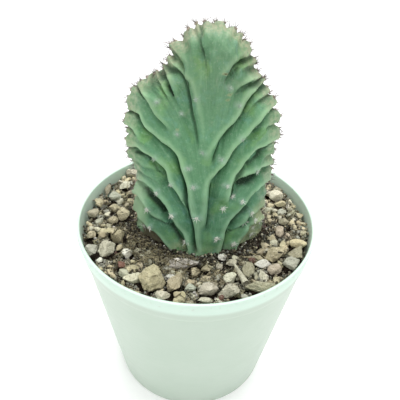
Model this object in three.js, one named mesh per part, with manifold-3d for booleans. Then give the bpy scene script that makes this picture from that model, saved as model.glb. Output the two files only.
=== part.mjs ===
// Potted crested cactus: a fan-shaped stem with feathered ribs, a bed of stones, potting mix and a pot.
// Millimetres, +Z up. The origin is the centre of the pot's foot and the broad front of the fan faces -Y.
import * as THREE from 'three';
import { mergeVertices } from 'three/addons/utils/BufferGeometryUtils.js';
import Module from 'manifold-3d';

const wasm = await Module();
wasm.setup();

// Pot
const potHeight = 90;
const rimRadius = 52.5;
const footRadius = 37;
const wall = 1.4;
const bandHeight = 11;
const bandStep = 0.8;
const bandFlare = 0.12;
const lipRounding = 0.4;
const floorThickness = 1.5;
const footRingInner = 31;
const footRecess = 1.2;
const footChamfer = 0.8;
const drainHoleRadius = 1.9;
const drainHoleCount = 8;
const drainHoleSides = 12;
const drainCircleRadius = 22;
const potSegments = 56;

// Potting mix and stone bed
const seatGap = 0.35;
const mixTop = 77;
const bedLow = 82.3;
const bedHigh = 85.6;
const bedSlopeFrom = 24;
const bedSlopeTo = 46;
const bedSegments = 48;
const stemHoleGap = 0.9;
const stoneSeed = 7;
const stonePitch = 7.2;
const stoneJitter = 0.3;
const stoneGroove = 2.2;
const stoneShoulder = 0.8;
const stoneShoulderDrop = 1;
const stoneRiseRange = [-0.4, 1.6];
const stoneCeiling = 89.5;

// Crested stem
const groundZ = 82;
const footCentreX = 1;
const footHalfWidth = 28;
const footHalfDepth = 17.5;
const footExponent = 1.5;
const thicknessTaper = 0.35;
const edgeThinning = 0.55;
const buriedDepth = 3.5;
const plugTop = 80;
const plugBottom = 68;
const plugTopHalf = [25, 14];
const plugBottomHalf = [20, 11];
const rowsPerFace = 12;
const samplesPerLobe = 6;
const crestRise = 1.2;
const edgeWave = 0.9;
const edgeWaveRate = 0.8;

// How a rib flows from the foot to the edge, as shares of its way across and up
const flowLean = 0.05;
const flowRise = 0.7;
const flowReach = 0.65;
const flowLift = 0.25;

// Ribs and valleys
const widestRib = 16;
const ridgeShift = 0.2;
const leanCentreX = 3;
const leanReach = 22;
const valleyDepthShare = 0.55;
const valleyPower = 1.5;
const valleyBlend = 4;
const openingSpan = 0.3;
const faintValley = 0.08;
const slimRib = 3.6;
const wideRib = 7;

// Areoles and spines
const backAreoleCount = 24;
const backAreoleShift = [2, 3];
const areoleRadius = 0.45;
const areoleHeight = 0.5;
const areoleSink = 0.9;
const spineLength = 2.7;
const spinesAtTip = 4;
const spinesOnFace = 3;
const spineTilt = 0.9;

// The valleys between the ribs, from the foot on the left over the top to the foot on the right.
// Each row: edge x, edge z, foot x, how far up its path the valley starts on the front, and its depth.
const valleys = [
  [-26.5, 82, -27, 0, 0],
  [-26.8, 91, -15, 0, 3],
  [-27.2, 99.5, -9.5, 0.4, 1.8],
  [-26, 107.5, -4.6, 0, 4],
  [-26, 113.5, -3, 0.6, 2],
  [-26.8, 120, -2, 0.8, 1.8],
  [-27, 126, -1, 0.15, 3.2],
  [-28, 131, 0, 0.86, 1.7],
  [-27.4, 135.5, 1, 0.72, 2],
  [-27, 141, 2.3, 0, 3.4],
  [-26, 147.5, 2.6, 0.88, 1.8],
  [-23.2, 151.5, 2.8, 0.45, 3.2],
  [-20.6, 154.2, 3, 0.88, 1.8],
  [-17.7, 156.8, 3.1, 0.7, 2.4],
  [-15, 159.5, 3.2, 0.74, 3],
  [-13, 162.6, 3.3, 0.76, 3.2],
  [-11.2, 166, 3.4, 0.3, 3],
  [-7.6, 170.2, 3.6, 0.88, 2],
  [-3.6, 173.4, 3.8, 0.86, 1.8],
  [-0.6, 174.9, 3.9, 0.55, 2.8],
  [3.4, 175.6, 4.1, 0.92, 1.8],
  [8.4, 174.4, 4.3, 0.84, 2.2],
  [12, 172.6, 4.4, 0.88, 2],
  [15, 169.9, 4.6, 0.9, 1.8],
  [16.8, 166, 4.8, 0.7, 3.4],
  [18.2, 161.8, 5, 0.85, 2.2],
  [20, 157.8, 5.1, 0.76, 2.6],
  [21.6, 154.6, 5.2, 0.35, 3],
  [23.8, 151, 5.3, 0.8, 2.2],
  [26.6, 145.8, 5.5, 0, 3.4],
  [28.4, 138.8, 6.6, 0.8, 2],
  [28.8, 132, 8, 0.4, 4],
  [29.2, 124, 9, 0.86, 1.8],
  [28.8, 118, 9.6, 0.25, 4],
  [28, 108.5, 10.9, 0, 3.6],
  [28, 98, 14, 0.35, 2.4],
  [28, 90, 18, 0, 2.8],
  [28.5, 82, 29, 0, 0],
];

// Felt spots that show on the front of the ribs, as x and z in the plane of the fan.
const frontAreoles = [
  [1.4, 101], [2.6, 110], [2.4, 122], [2.5, 131], [-0.5, 114], [-2.6, 89.5], [-9.8, 101], [-15.8, 111],
  [-9, 117], [-16.3, 126.5], [-10.7, 127.5], [-4, 123], [-7.3, 138.5], [-6.2, 147], [-5, 161.5],
  [-2, 152], [-2.6, 159], [10.5, 106.5], [9.4, 91.5], [12, 116], [14.5, 111], [18.7, 108.5],
  [20.4, 97.5], [16.8, 87.5], [9.5, 128], [7.2, 141], [14.8, 150], [10, 155.5], [22.5, 149],
  [16.4, 140], [23, 122.5], [20.7, 127.5], [-20, 104], [-19, 88],
];

// Larger stones in front of and beside the stem: x, y, half length, half width, turn in degrees.
const placedStones = [
  [-17, -36, 5.8, 4.9, 70], [-33.5, 5, 5, 2.8, 85], [-37, -20.5, 4.3, 3.3, 65], [-8, -38, 4.9, 2.9, 68],
  [25.5, -38, 4.8, 2.8, 10], [22, -28, 3.7, 3.4, 40], [43, -18, 3.7, 3.2, 60], [-4, -23.5, 5.6, 2.1, 4],
  [-34, -10, 3.7, 3.2, 15], [34, -18, 4.4, 2.7, 14], [40.5, -24, 3.9, 2.8, 75], [37, 22, 4, 2.8, -15],
  [-43.5, -20.5, 3.8, 2.8, 75], [14, -41, 4.6, 2.4, -6], [-33, 35, 3.6, 2.6, 20], [-23.5, -36, 3.7, 2.6, 10],
  [6.5, -40, 4, 2.4, 24], [33.5, -27, 3.1, 2.8, 50], [28, -23.5, 3.7, 2.2, 0], [-28.5, -21, 3, 2.4, 10],
  [15, -32.5, 3, 2.5, 20], [37.5, -2, 3.2, 2.2, 80], [8, -23, 4.2, 1.7, 6], [-39, 16, 3, 2.3, 20],
];

// Seeded random numbers from 0 to 1, alike on every run.
function randomNumbers(seed) {
  let state = seed;
  return () => {
    state = (state + 0x6d2b79f5) | 0;
    let t = Math.imul(state ^ (state >>> 15), 1 | state);
    t = (t + Math.imul(t ^ (t >>> 7), 61 | t)) ^ t;
    return ((t ^ (t >>> 14)) >>> 0) / 4294967296;
  };
}

function clamp(value, low, high) {
  return Math.min(high, Math.max(low, value));
}

function smoothStep(low, high, value) {
  const t = clamp((value - low) / (high - low), 0, 1);
  return t * t * (3 - 2 * t);
}

// Solids from closed geometry, and back
function toSolid(geometry) {
  const bare = geometry.clone();
  bare.deleteAttribute('normal');
  bare.deleteAttribute('uv');
  const merged = mergeVertices(bare, 1e-4);
  const vertProperties = new Float32Array(merged.attributes.position.array);
  const triVerts = new Uint32Array(merged.index.array);
  return new wasm.Manifold(new wasm.Mesh({ numProp: 3, vertProperties, triVerts }));
}

function fromPoints(points, triangles) {
  const geometry = new THREE.BufferGeometry();
  geometry.setAttribute('position', new THREE.Float32BufferAttribute(points.flatMap((p) => p.toArray()), 3));
  geometry.setIndex(triangles);
  return geometry;
}

function toGeometry(solid) {
  const mesh = solid.getMesh();
  const geometry = new THREE.BufferGeometry();
  geometry.setAttribute('position', new THREE.BufferAttribute(new Float32Array(mesh.vertProperties), 3));
  geometry.setIndex(new THREE.BufferAttribute(new Uint32Array(mesh.triVerts), 1));
  geometry.computeVertexNormals();
  return geometry;
}

function joinAll(solids) {
  let level = solids;
  while (level.length > 1) {
    const next = [];
    for (let i = 0; i < level.length; i += 2) {
      next.push(i + 1 < level.length ? level[i].add(level[i + 1]) : level[i]);
    }
    level = next;
  }
  return level[0];
}

// A lathe about +Z from profile points of radius and height that run up the outside
function turned(points, segments) {
  const profile = points.map(([radius, height]) => new THREE.Vector2(radius, height));
  return new THREE.LatheGeometry(profile, segments).rotateX(Math.PI / 2);
}

// Pot: how wide its wall is, outside and inside, at a height
function bodyRadiusAt(z) {
  const bandBottom = potHeight - bandHeight;
  const bodyTop = rimRadius - bandStep - bandHeight * bandFlare;
  return footRadius + (bodyTop - footRadius) * (z / bandBottom);
}

function innerRadiusAt(z) {
  return bodyRadiusAt(z) - wall;
}

function makePot() {
  const bandBottom = potHeight - bandHeight;
  const floorTop = footRecess + floorThickness;
  const bandLowRadius = bodyRadiusAt(bandBottom) + bandStep;
  const innerTop = rimRadius - wall;
  const profile = [
    [0, footRecess],
    [footRingInner - footRecess, footRecess],
    [footRingInner, 0],
    [footRadius - footChamfer, 0],
    [bodyRadiusAt(footChamfer), footChamfer],
    [bodyRadiusAt(bandBottom), bandBottom],
    [bandLowRadius, bandBottom + bandStep],
    [rimRadius, potHeight - lipRounding],
    [rimRadius - lipRounding, potHeight],
    [innerTop + lipRounding, potHeight],
    [innerTop, potHeight - lipRounding],
    [bandLowRadius - wall, bandBottom + bandStep + wall],
    [bodyRadiusAt(bandBottom) - wall, bandBottom],
    [bodyRadiusAt(floorTop) - wall, floorTop],
    [0, floorTop],
  ];
  let pot = toSolid(turned(profile, potSegments));
  for (let i = 0; i < drainHoleCount; i += 1) {
    const angle = ((i + 0.5) / drainHoleCount) * Math.PI * 2;
    const drill = new THREE.CylinderGeometry(
      drainHoleRadius, drainHoleRadius, floorTop * 3, drainHoleSides,
    );
    drill.rotateX(Math.PI / 2);
    drill.translate(Math.cos(angle) * drainCircleRadius, Math.sin(angle) * drainCircleRadius, floorTop / 2);
    pot = pot.subtract(toSolid(drill));
  }
  return toGeometry(pot);
}

// Half the depth of the stem where it leaves the ground, for a place across the fan
function footDepthAt(x) {
  const q = Math.min(1, Math.abs(x - footCentreX) / footHalfWidth);
  return footHalfDepth * Math.pow(1 - Math.pow(q, footExponent), 1 / footExponent);
}

// An upright column with the stem's lens-shaped outline, grown by a gap
function stemColumn(gap, lowZ, highZ) {
  const shape = new THREE.Shape();
  const steps = 20;
  for (let side = -1; side <= 1; side += 2) {
    for (let i = 0; i < steps; i += 1) {
      const q = side * (1 - (2 * i) / steps);
      const grow = 1 + gap / footHalfDepth;
      const x = footCentreX + q * (footHalfWidth + gap);
      const y = side * footDepthAt(footCentreX + q * footHalfWidth) * grow;
      if (side === -1 && i === 0) shape.moveTo(x, y);
      else shape.lineTo(x, y);
    }
  }
  const column = new THREE.ExtrudeGeometry(shape, { depth: highZ - lowZ, bevelEnabled: false });
  return column.translate(0, 0, lowZ);
}

// Elliptic tapering column, for the buried foot and its seat in the mix
function taperedPlug(gap) {
  const column = new THREE.CylinderGeometry(1, 1, 1, 32);
  column.rotateX(Math.PI / 2);
  const position = column.attributes.position;
  for (let i = 0; i < position.count; i += 1) {
    const high = position.getZ(i) > 0;
    const half = high ? plugTopHalf : plugBottomHalf;
    const x = footCentreX + position.getX(i) * (half[0] + gap);
    const y = position.getY(i) * (half[1] + gap);
    position.setXYZ(i, x, y, high ? plugTop : plugBottom - gap);
  }
  return column;
}

// Potting mix, with the seat of the plant's foot
function makeMix() {
  const bottom = footRecess + floorThickness + seatGap;
  const profile = [
    [0, bottom],
    [innerRadiusAt(bottom) - seatGap, bottom],
    [innerRadiusAt(mixTop) - seatGap, mixTop],
    [0, mixTop],
  ];
  return toGeometry(toSolid(turned(profile, bedSegments)).subtract(toSolid(taperedPlug(seatGap))));
}

// Crested stem: where a place on the growing edge is, for a valley number that may lie between two
function edgeAt(s) {
  const index = Math.min(Math.floor(s), valleys.length - 2);
  const t = s - index;
  const row = (i) => valleys[clamp(i, 0, valleys.length - 1)];
  const [before, from, to, after] = [row(index - 1), row(index), row(index + 1), row(index + 2)];
  const spline = (column) => {
    const [a, b, c, d] = [before[column], from[column], to[column], after[column]];
    const cubic = 3 * b - a - 3 * c + d;
    return b + 0.5 * t * (c - a + t * (2 * a - 5 * b + 4 * c - d + t * cubic));
  };
  return { edgeX: spline(0), edgeZ: spline(1), footX: spline(2) };
}

// The smooth body under the ribs. The angle runs from 0 at the front foot to 90 degrees at the edge
// and on to 180 degrees at the back foot, and every rib rises upright and bends outward.
function bodyAt(s, angle) {
  const { edgeX, edgeZ, footX } = edgeAt(s);
  const v = Math.sin(angle);
  const across = edgeX - footX;
  const up = edgeZ - groundZ;
  const x1 = footX + flowLean * across;
  const z1 = groundZ + flowRise * up;
  const x2 = footX + flowReach * across;
  const z2 = edgeZ + flowLift * Math.abs(across);
  const w = 1 - v;
  const x = w * w * w * footX + 3 * w * w * v * x1 + 3 * w * v * v * x2 + v * v * v * edgeX;
  const z = w * w * w * groundZ + 3 * w * w * v * z1 + 3 * w * v * v * z2 + v * v * v * edgeZ;
  const swell = Math.sqrt(1 + v * v) * (1 - edgeThinning * Math.pow(v, 6));
  const depth = footDepthAt(footX) * (1 - thicknessTaper * v) * swell * Math.cos(angle);
  return new THREE.Vector3(x, edgeWave * Math.sin(s * edgeWaveRate) * v * v - depth, z);
}

function normalAt(s, angle) {
  const ds = 0.05;
  const da = 0.01;
  const alongS = bodyAt(Math.min(s + ds, valleys.length - 1), angle).sub(bodyAt(Math.max(s - ds, 0), angle));
  const alongA = bodyAt(s, angle + da).sub(bodyAt(s, angle - da));
  return alongS.cross(alongA).normalize();
}

// How far a rib leans outward, from -1 on the left to 1 on the right
function leanAt(edgeX) {
  return clamp((edgeX - leanCentreX) / leanReach, -1, 1);
}

// One row across the body at one angle, with its valleys, their widths and the columns that it needs
function makeRow(angle) {
  const v = Math.sin(angle);
  const isBack = angle > Math.PI / 2;
  const last = valleys.length - 1;
  const runs = [0];
  const sampleCount = last * samplesPerLobe;
  let previous = bodyAt(0, angle);
  for (let i = 1; i <= sampleCount; i += 1) {
    const point = bodyAt(i / samplesPerLobe, angle);
    runs.push(runs[i - 1] + point.distanceTo(previous));
    previous = point;
  }
  const runAt = (s) => {
    const i = Math.min(Math.floor(s * samplesPerLobe), sampleCount - 1);
    const t = s * samplesPerLobe - i;
    return runs[i] * (1 - t) + runs[i + 1] * t;
  };
  const sAt = (run) => {
    let i = 0;
    while (i < sampleCount - 1 && runs[i + 1] < run) i += 1;
    const t = (run - runs[i]) / Math.max(runs[i + 1] - runs[i], 1e-9);
    return (i + clamp(t, 0, 1)) / samplesPerLobe;
  };
  const cuts = [];
  for (let k = 1; k < last; k += 1) {
    const birth = isBack ? valleys[Math.min(k + 1, last - 1)][3] : valleys[k][3];
    const span = Math.min(openingSpan, 0.9 * (1 - birth));
    const open = birth <= 0 ? 1 : smoothStep(birth, birth + span, v);
    cuts.push({ s: k, run: runAt(k), open, depth: valleys[k][4], lean: leanAt(valleys[k][0]) });
  }
  for (const cut of cuts) {
    cut.below = widestRib;
    cut.above = widestRib;
    for (const other of cuts) {
      const apart = Math.abs(other.run - cut.run) / Math.max(other.open, faintValley);
      if (other.run < cut.run) cut.below = Math.min(cut.below, apart);
      if (other.run > cut.run) cut.above = Math.min(cut.above, apart);
    }
    cut.deep = Math.min(cut.depth, valleyDepthShare * Math.min(cut.below, cut.above)) * cut.open;
  }
  return { angle, v, runAt, sAt, cuts, length: runs[sampleCount] };
}

// How far the surface lies below the ridges, with a sharp valley and a steeper upper side
function cutAt(row, run) {
  let sum = 0;
  for (const { run: centre, below, above, deep, lean } of row.cuts) {
    if (deep <= 0) continue;
    const offset = run - centre;
    const reach = offset > 0 ? above * (0.5 + ridgeShift * lean) : -below * (0.5 - ridgeShift * lean);
    const left = 1 - offset / reach;
    if (left > 0) sum += Math.pow(deep * Math.pow(left, valleyPower), valleyBlend);
  }
  return Math.pow(sum, 1 / valleyBlend);
}

function surfacePoint(row, s) {
  const run = row.runAt(s);
  const fromPole = Math.min(s, valleys.length - 1 - s);
  const fade = smoothStep(0, 1, fromPole);
  const height = crestRise * Math.pow(row.v, 8) * fade - cutAt(row, run) * smoothStep(0, 0.5, fromPole);
  return bodyAt(s, row.angle).addScaledVector(normalAt(s, row.angle), height);
}

// The places along a row that get a column of points: every open valley, and steps across each rib
function rowColumns(row) {
  const last = valleys.length - 1;
  const open = row.cuts.filter((cut) => cut.open > faintValley);
  const stops = [{ s: 0, run: 0 }, ...open, { s: last, run: row.length }];
  const columns = [0];
  for (let i = 1; i < stops.length; i += 1) {
    const from = stops[i - 1].run;
    const span = stops[i].run - from;
    const middle = edgeAt((stops[i - 1].s + stops[i].s) / 2);
    const ridge = 0.5 + ridgeShift * leanAt(middle.edgeX);
    const narrow = [0.45 * ridge, ridge, ridge + 0.55 * (1 - ridge)];
    const wide = [0.3 * ridge, 0.65 * ridge, ridge, ridge + 0.35 * (1 - ridge), ridge + 0.7 * (1 - ridge)];
    const parts = span > wideRib ? wide : narrow;
    for (const part of span < slimRib ? [ridge] : parts) columns.push(row.sAt(from + span * part));
    columns.push(stops[i].s);
  }
  return columns;
}

// Joins two rows of numbered points, in step along the edge, into a strip of triangles
function zipRows(lower, upper, triangles) {
  let i = 0;
  let j = 0;
  const add = (a, b, c) => {
    if (a !== b && b !== c && a !== c) triangles.push(a, b, c);
  };
  while (i < lower.length - 1 || j < upper.length - 1) {
    const nextLower = i < lower.length - 1 ? lower[i + 1].s : Infinity;
    const nextUpper = j < upper.length - 1 ? upper[j + 1].s : Infinity;
    if (nextLower <= nextUpper) {
      add(lower[i].id, lower[i + 1].id, upper[j].id);
      i += 1;
    } else {
      add(lower[i].id, upper[j + 1].id, upper[j].id);
      j += 1;
    }
  }
}

function makeCrestBody() {
  const last = valleys.length - 1;
  const points = [];
  const addPoint = (point) => points.push(point) - 1;
  const leftPole = addPoint(bodyAt(0, 0));
  const rightPole = addPoint(bodyAt(last, 0));
  const rows = [];
  for (let j = 0; j <= 2 * rowsPerFace; j += 1) {
    const row = makeRow((j / (2 * rowsPerFace)) * Math.PI);
    const columns = rowColumns(row);
    rows.push(columns.map((s) => {
      if (s === 0) return { s, id: leftPole };
      if (s === last) return { s, id: rightPole };
      return { s, id: addPoint(surfacePoint(row, s)) };
    }));
  }
  const buried = (row) => row.map(({ s, id }) => {
    const above = points[id];
    return { s, id: addPoint(new THREE.Vector3(above.x, above.y, groundZ - buriedDepth)) };
  });
  const frontFoot = buried(rows[0]);
  const backFoot = buried(rows[rows.length - 1]);
  backFoot[0].id = frontFoot[0].id;
  backFoot[backFoot.length - 1].id = frontFoot[frontFoot.length - 1].id;
  const loop = [frontFoot, ...rows, backFoot];
  const triangles = [];
  for (let j = 1; j < loop.length; j += 1) zipRows(loop[j - 1], loop[j], triangles);
  zipRows(backFoot, frontFoot, triangles);
  return fromPoints(points, triangles);
}

// The place on a ridge that is nearest to a spot on one face, given as x and z
function ridgeNear(x, z, isBack) {
  let best = { distance: Infinity };
  for (let j = 1; j < 60; j += 1) {
    const angle = (j / 60) * (Math.PI / 2);
    for (let s = 0.5; s < valleys.length - 1.4; s += 0.25) {
      const point = bodyAt(s, angle);
      const distance = Math.hypot(point.x - x, point.z - z);
      if (distance < best.distance) best = { distance, s, angle };
    }
  }
  const row = makeRow(isBack ? Math.PI - best.angle : best.angle);
  const centre = row.runAt(best.s);
  let ridge = { cut: Infinity };
  for (let offset = -3; offset <= 3; offset += 0.25) {
    const cut = cutAt(row, centre + offset) + 0.02 * Math.abs(offset);
    if (cut < ridge.cut) ridge = { cut, run: centre + offset };
  }
  return { row, s: row.sAt(ridge.run) };
}

// Areoles: the listed spots in front, the same spots turned about behind, and every tip of the edge
function areolePlaces() {
  const places = frontAreoles.map(([x, z]) => ridgeNear(x, z, false));
  for (const [x, z] of frontAreoles.slice(0, backAreoleCount)) {
    const mirroredX = 2 * footCentreX - x;
    places.push(ridgeNear(mirroredX + backAreoleShift[0], z + backAreoleShift[1], true));
  }
  const edge = makeRow(Math.PI / 2);
  for (let k = 0; k < valleys.length - 1; k += 1) {
    places.push({ row: edge, s: k + 0.5, isTip: true });
  }
  return places;
}

// A felt cushion with its spines as one small star: a top, a sunk root and a ring of tips and waists
function makeAreole({ row, s, isTip }, index) {
  const root = surfacePoint(row, s);
  const normal = normalAt(s, row.angle);
  const side = new THREE.Vector3(0, 0, 1).cross(normal);
  if (side.length() < 0.1) side.set(1, 0, 0);
  side.normalize();
  const rise = normal.clone().cross(side);
  const place = (out, around, height) => root.clone()
    .addScaledVector(side, out * Math.cos(around))
    .addScaledVector(rise, out * Math.sin(around))
    .addScaledVector(normal, height);
  const ringCount = 2 * (isTip ? spinesAtTip : spinesOnFace);
  const points = [place(0, 0, areoleHeight), place(0, 0, -areoleSink)];
  const triangles = [];
  for (let i = 0; i < ringCount; i += 1) {
    const around = ((i + index * 0.77) / ringCount) * Math.PI * 2;
    const isSpine = i % 2 === 0;
    const out = isSpine ? spineLength * Math.sin(spineTilt) : areoleRadius;
    points.push(place(out, around, isSpine ? spineLength * Math.cos(spineTilt) : 0.1));
    const here = 2 + i;
    const next = 2 + ((i + 1) % ringCount);
    triangles.push(0, here, next, 1, next, here);
  }
  return toSolid(fromPoints(points, triangles));
}

function makeCactus() {
  const body = toSolid(makeCrestBody()).add(toSolid(taperedPlug(0)));
  const trim = areolePlaces().map(makeAreole);
  return toGeometry(body.add(joinAll(trim)));
}

// Stone bed: a jittered honeycomb with one stone in each cell, and grooves along the cell walls
function stoneCells() {
  const random = randomNumbers(stoneSeed);
  const reach = Math.ceil(rimRadius / stonePitch) + 1;
  const cells = new Map();
  for (let row = -reach; row <= reach; row += 1) {
    for (let column = -reach; column <= reach; column += 1) {
      const shift = row % 2 === 0 ? 0 : 0.5;
      const x = (column + shift + (random() - 0.5) * 2 * stoneJitter) * stonePitch;
      const y = (row * Math.sqrt(0.75) + (random() - 0.5) * 2 * stoneJitter) * stonePitch;
      const rise = stoneRiseRange[0] + random() * (stoneRiseRange[1] - stoneRiseRange[0]);
      cells.set(`${row},${column}`, { row, column, x, y, rise });
    }
  }
  return cells;
}

// The bed dips from the wall of the pot towards the stem
function bedLevelAt(x, y) {
  return bedLow + (bedHigh - bedLow) * smoothStep(bedSlopeFrom, bedSlopeTo, Math.hypot(x, y));
}

function makeStoneSheet(bottom) {
  const cells = stoneCells();
  const points = [];
  const triangles = [];
  const corners = new Map();
  const add = (x, y, z) => points.push(new THREE.Vector3(x, y, z)) - 1;
  const cornerOf = (a, b, c) => {
    const three = [a, b, c].sort((p, q) => p.row - q.row || p.column - q.column);
    const key = three.map((cell) => `${cell.row},${cell.column}`).join(' ');
    if (!corners.has(key)) {
      const x = (three[0].x + three[1].x + three[2].x) / 3;
      const y = (three[0].y + three[1].y + three[2].y) / 3;
      corners.set(key, add(x, y, bedLevelAt(x, y) - stoneGroove));
    }
    return corners.get(key);
  };
  for (const cell of cells.values()) {
    const odd = cell.row % 2 === 0 ? 0 : 1;
    const steps = [[0, 1], [1, odd], [1, odd - 1], [0, -1], [-1, odd - 1], [-1, odd]];
    const around = steps.map(([up, along]) => cells.get(`${cell.row + up},${cell.column + along}`));
    if (around.some((neighbour) => neighbour === undefined)) continue;
    const top = bedLevelAt(cell.x, cell.y) + cell.rise;
    const crown = add(cell.x, cell.y, top);
    const outer = around.map((neighbour, i) => cornerOf(cell, neighbour, around[(i + 1) % 6]));
    const shoulder = outer.map((id) => {
      const corner = points[id];
      const x = cell.x + stoneShoulder * (corner.x - cell.x);
      const y = cell.y + stoneShoulder * (corner.y - cell.y);
      return add(x, y, top - stoneShoulderDrop);
    });
    for (let i = 0; i < 6; i += 1) {
      const n = (i + 1) % 6;
      triangles.push(crown, shoulder[i], shoulder[n]);
      triangles.push(shoulder[i], outer[i], outer[n], shoulder[i], outer[n], shoulder[n]);
    }
  }
  return closeBelow(points, triangles, bottom);
}

// Closes an open sheet with a wall around its rim and a flat underside
function closeBelow(points, triangles, bottom) {
  const edges = new Set();
  for (let i = 0; i < triangles.length; i += 3) {
    for (let j = 0; j < 3; j += 1) edges.add(`${triangles[i + j]},${triangles[i + ((j + 1) % 3)]}`);
  }
  const under = new Map();
  const below = (id) => {
    if (!under.has(id)) under.set(id, points.push(new THREE.Vector3(points[id].x, points[id].y, bottom)) - 1);
    return under.get(id);
  };
  const centre = points.push(new THREE.Vector3(0, 0, bottom)) - 1;
  for (const edge of edges) {
    const [a, b] = edge.split(',').map(Number);
    if (edges.has(`${b},${a}`)) continue;
    triangles.push(a, below(a), below(b), a, below(b), b);
    triangles.push(centre, below(b), below(a));
  }
  return fromPoints(points, triangles);
}

function makeStone([x, y, half, cross, turn], random) {
  const stone = new THREE.SphereGeometry(1, 5, 3);
  stone.deleteAttribute('normal');
  stone.deleteAttribute('uv');
  const merged = mergeVertices(stone, 1e-4);
  const position = merged.attributes.position;
  for (let i = 0; i < position.count; i += 1) {
    const swell = 0.85 + 0.3 * random();
    position.setXYZ(i, position.getX(i) * swell, position.getY(i) * swell, position.getZ(i) * swell);
  }
  const tall = 0.5 * (half + cross) * (0.65 + 0.25 * random());
  merged.scale(half, cross, tall);
  merged.rotateX((random() - 0.5) * 0.5);
  merged.rotateZ((turn * Math.PI) / 180);
  return toSolid(merged.translate(x, y, bedLevelAt(x, y) - 0.2 + 0.3 * tall));
}

function makeGravel() {
  const random = randomNumbers(stoneSeed + 1);
  const bottom = mixTop + seatGap;
  const bandBottom = potHeight - bandHeight;
  const reach = [
    [0, bottom],
    [innerRadiusAt(bottom) - seatGap, bottom],
    [innerRadiusAt(bandBottom) - seatGap, bandBottom],
    [innerRadiusAt(bandBottom) + bandStep - seatGap, stoneCeiling],
    [0, stoneCeiling],
  ];
  const stones = placedStones.map((row) => makeStone(row, random));
  const heap = joinAll([toSolid(makeStoneSheet(bottom - 1)), ...stones]);
  const inside = heap.intersect(toSolid(turned(reach, bedSegments)));
  return toGeometry(inside.subtract(toSolid(stemColumn(stemHoleGap, mixTop - 2, stoneCeiling + 1))));
}

// The whole object
function addPiece(group, name, geometry, color, roughness) {
  const mesh = new THREE.Mesh(geometry, new THREE.MeshStandardMaterial({ color, roughness, metalness: 0 }));
  mesh.name = name;
  group.add(mesh);
}

const plant = new THREE.Group();
addPiece(plant, 'pot', makePot(), 0xdcefe4, 0.45);
addPiece(plant, 'soil', makeMix(), 0x4b3d33, 0.95);
addPiece(plant, 'gravel', makeGravel(), 0xbfae95, 0.9);
addPiece(plant, 'cactus', makeCactus(), 0x6f9d7c, 0.7);

export default plant;
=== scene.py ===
"""Looks of the potted crested cactus: skin, areoles and spines, stones and grit, pot, light and camera.

Lengths are in millimetres in the part's own frame, and make_mesh turns them into metres.
"""
import math
from itertools import combinations

import bpy
import numpy as np
from mathutils import Matrix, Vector
from mathutils.geometry import delaunay_2d_cdt


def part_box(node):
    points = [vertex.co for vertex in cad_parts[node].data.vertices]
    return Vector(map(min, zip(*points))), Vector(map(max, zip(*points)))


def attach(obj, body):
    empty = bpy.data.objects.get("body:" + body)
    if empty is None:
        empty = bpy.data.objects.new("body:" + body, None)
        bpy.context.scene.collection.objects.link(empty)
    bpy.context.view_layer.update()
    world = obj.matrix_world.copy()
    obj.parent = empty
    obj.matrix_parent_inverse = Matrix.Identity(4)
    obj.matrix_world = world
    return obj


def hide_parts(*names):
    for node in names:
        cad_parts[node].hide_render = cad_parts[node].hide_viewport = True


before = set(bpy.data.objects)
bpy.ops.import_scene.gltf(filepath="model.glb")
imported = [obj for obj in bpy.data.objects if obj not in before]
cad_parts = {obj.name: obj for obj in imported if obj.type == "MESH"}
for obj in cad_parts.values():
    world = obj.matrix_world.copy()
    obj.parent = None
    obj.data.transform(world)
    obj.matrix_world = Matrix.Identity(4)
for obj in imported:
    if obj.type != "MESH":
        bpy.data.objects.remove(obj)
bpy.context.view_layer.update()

MM = 0.001
FULL_TURN = 2 * math.pi
ATTRIBUTE_KINDS = {1: ("FLOAT", "value"), 3: ("FLOAT_VECTOR", "vector"), 4: ("FLOAT_COLOR", "color")}

# Pot, with its outer sizes from the frame
RIM_RADIUS, _, POT_HEIGHT = np.array(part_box("pot")[1]) / MM
FOOT_RADIUS = 37.0
WALL = 1.4
BAND_HEIGHT = 11.0
BAND_BOTTOM = POT_HEIGHT - BAND_HEIGHT
BAND_STEP = 0.8
BAND_FLARE = 0.12
BAND_SLOPES = (0.6, 1.3)
WALL_TOP_RADIUS = RIM_RADIUS - BAND_STEP - BAND_HEIGHT * BAND_FLARE
LIP_TAPER = (0.08, 2.6)
LIP_ROUNDING = 0.6
FLOOR_THICKNESS = 1.5
FOOT_RING_INNER = 31.0
FOOT_RECESS = 1.2
DRAIN_HOLE_RADIUS = 1.9
DRAIN_HOLE_COUNT = 8
DRAIN_HOLE_SIDES = 24
DRAIN_HOLE_OPEN_SHARE = 0.97
DRAIN_CIRCLE_RADIUS = 22.0
POT_SEGMENTS = 288
POT_STEP = 2.5

# Stone bed
BED_RADIUS = RIM_RADIUS - WALL - 0.9
BED_LEVELS = (82.3, 85.6)
BED_SLOPE = (24.0, 46.0)
BED_PITCH = 0.4
BED_REACH = 54
BED_RINGS, BED_SPOKES = 125, 270
MIX_TOP = 77.0
MIX_DROP = 0.9
MOUND_HEIGHT = 4.2
MOUND_REACH = (1.05, 1.5)
STONE_SEED, GRIT_SEED = 77, 91
PLANE_COUNT, PLANE_DEPTHS, PLANED_LOSS = 13, (0.5, 0.85), 1.16
STONE_TIP, GRIT_TIP = 0.18, 0.5
STONE_SIZES = [(3.4, 500), (2.5, 1500), (1.7, 3600)]
HALF_SPREAD, CROSS_SHARE, TALL_SHARE = (0.75, 1.2), (0.6, 0.95), (0.5, 0.8)
PLACED_TALL_SHARE = (0.6, 0.8)
PLACED_LIFT, PLACED_LIFT_SHARE = 0.15, 0.28
FINEST_FROM = 4.2
STONE_CLEARANCE, CLEARANCE_GAIN = 1.16, 0.06
NESTING, STONE_SINK = 0.85, 0.25
STONE_STANDS_OUT = (0.2, 1.5)
GRIT_COUNT = 5600
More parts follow.
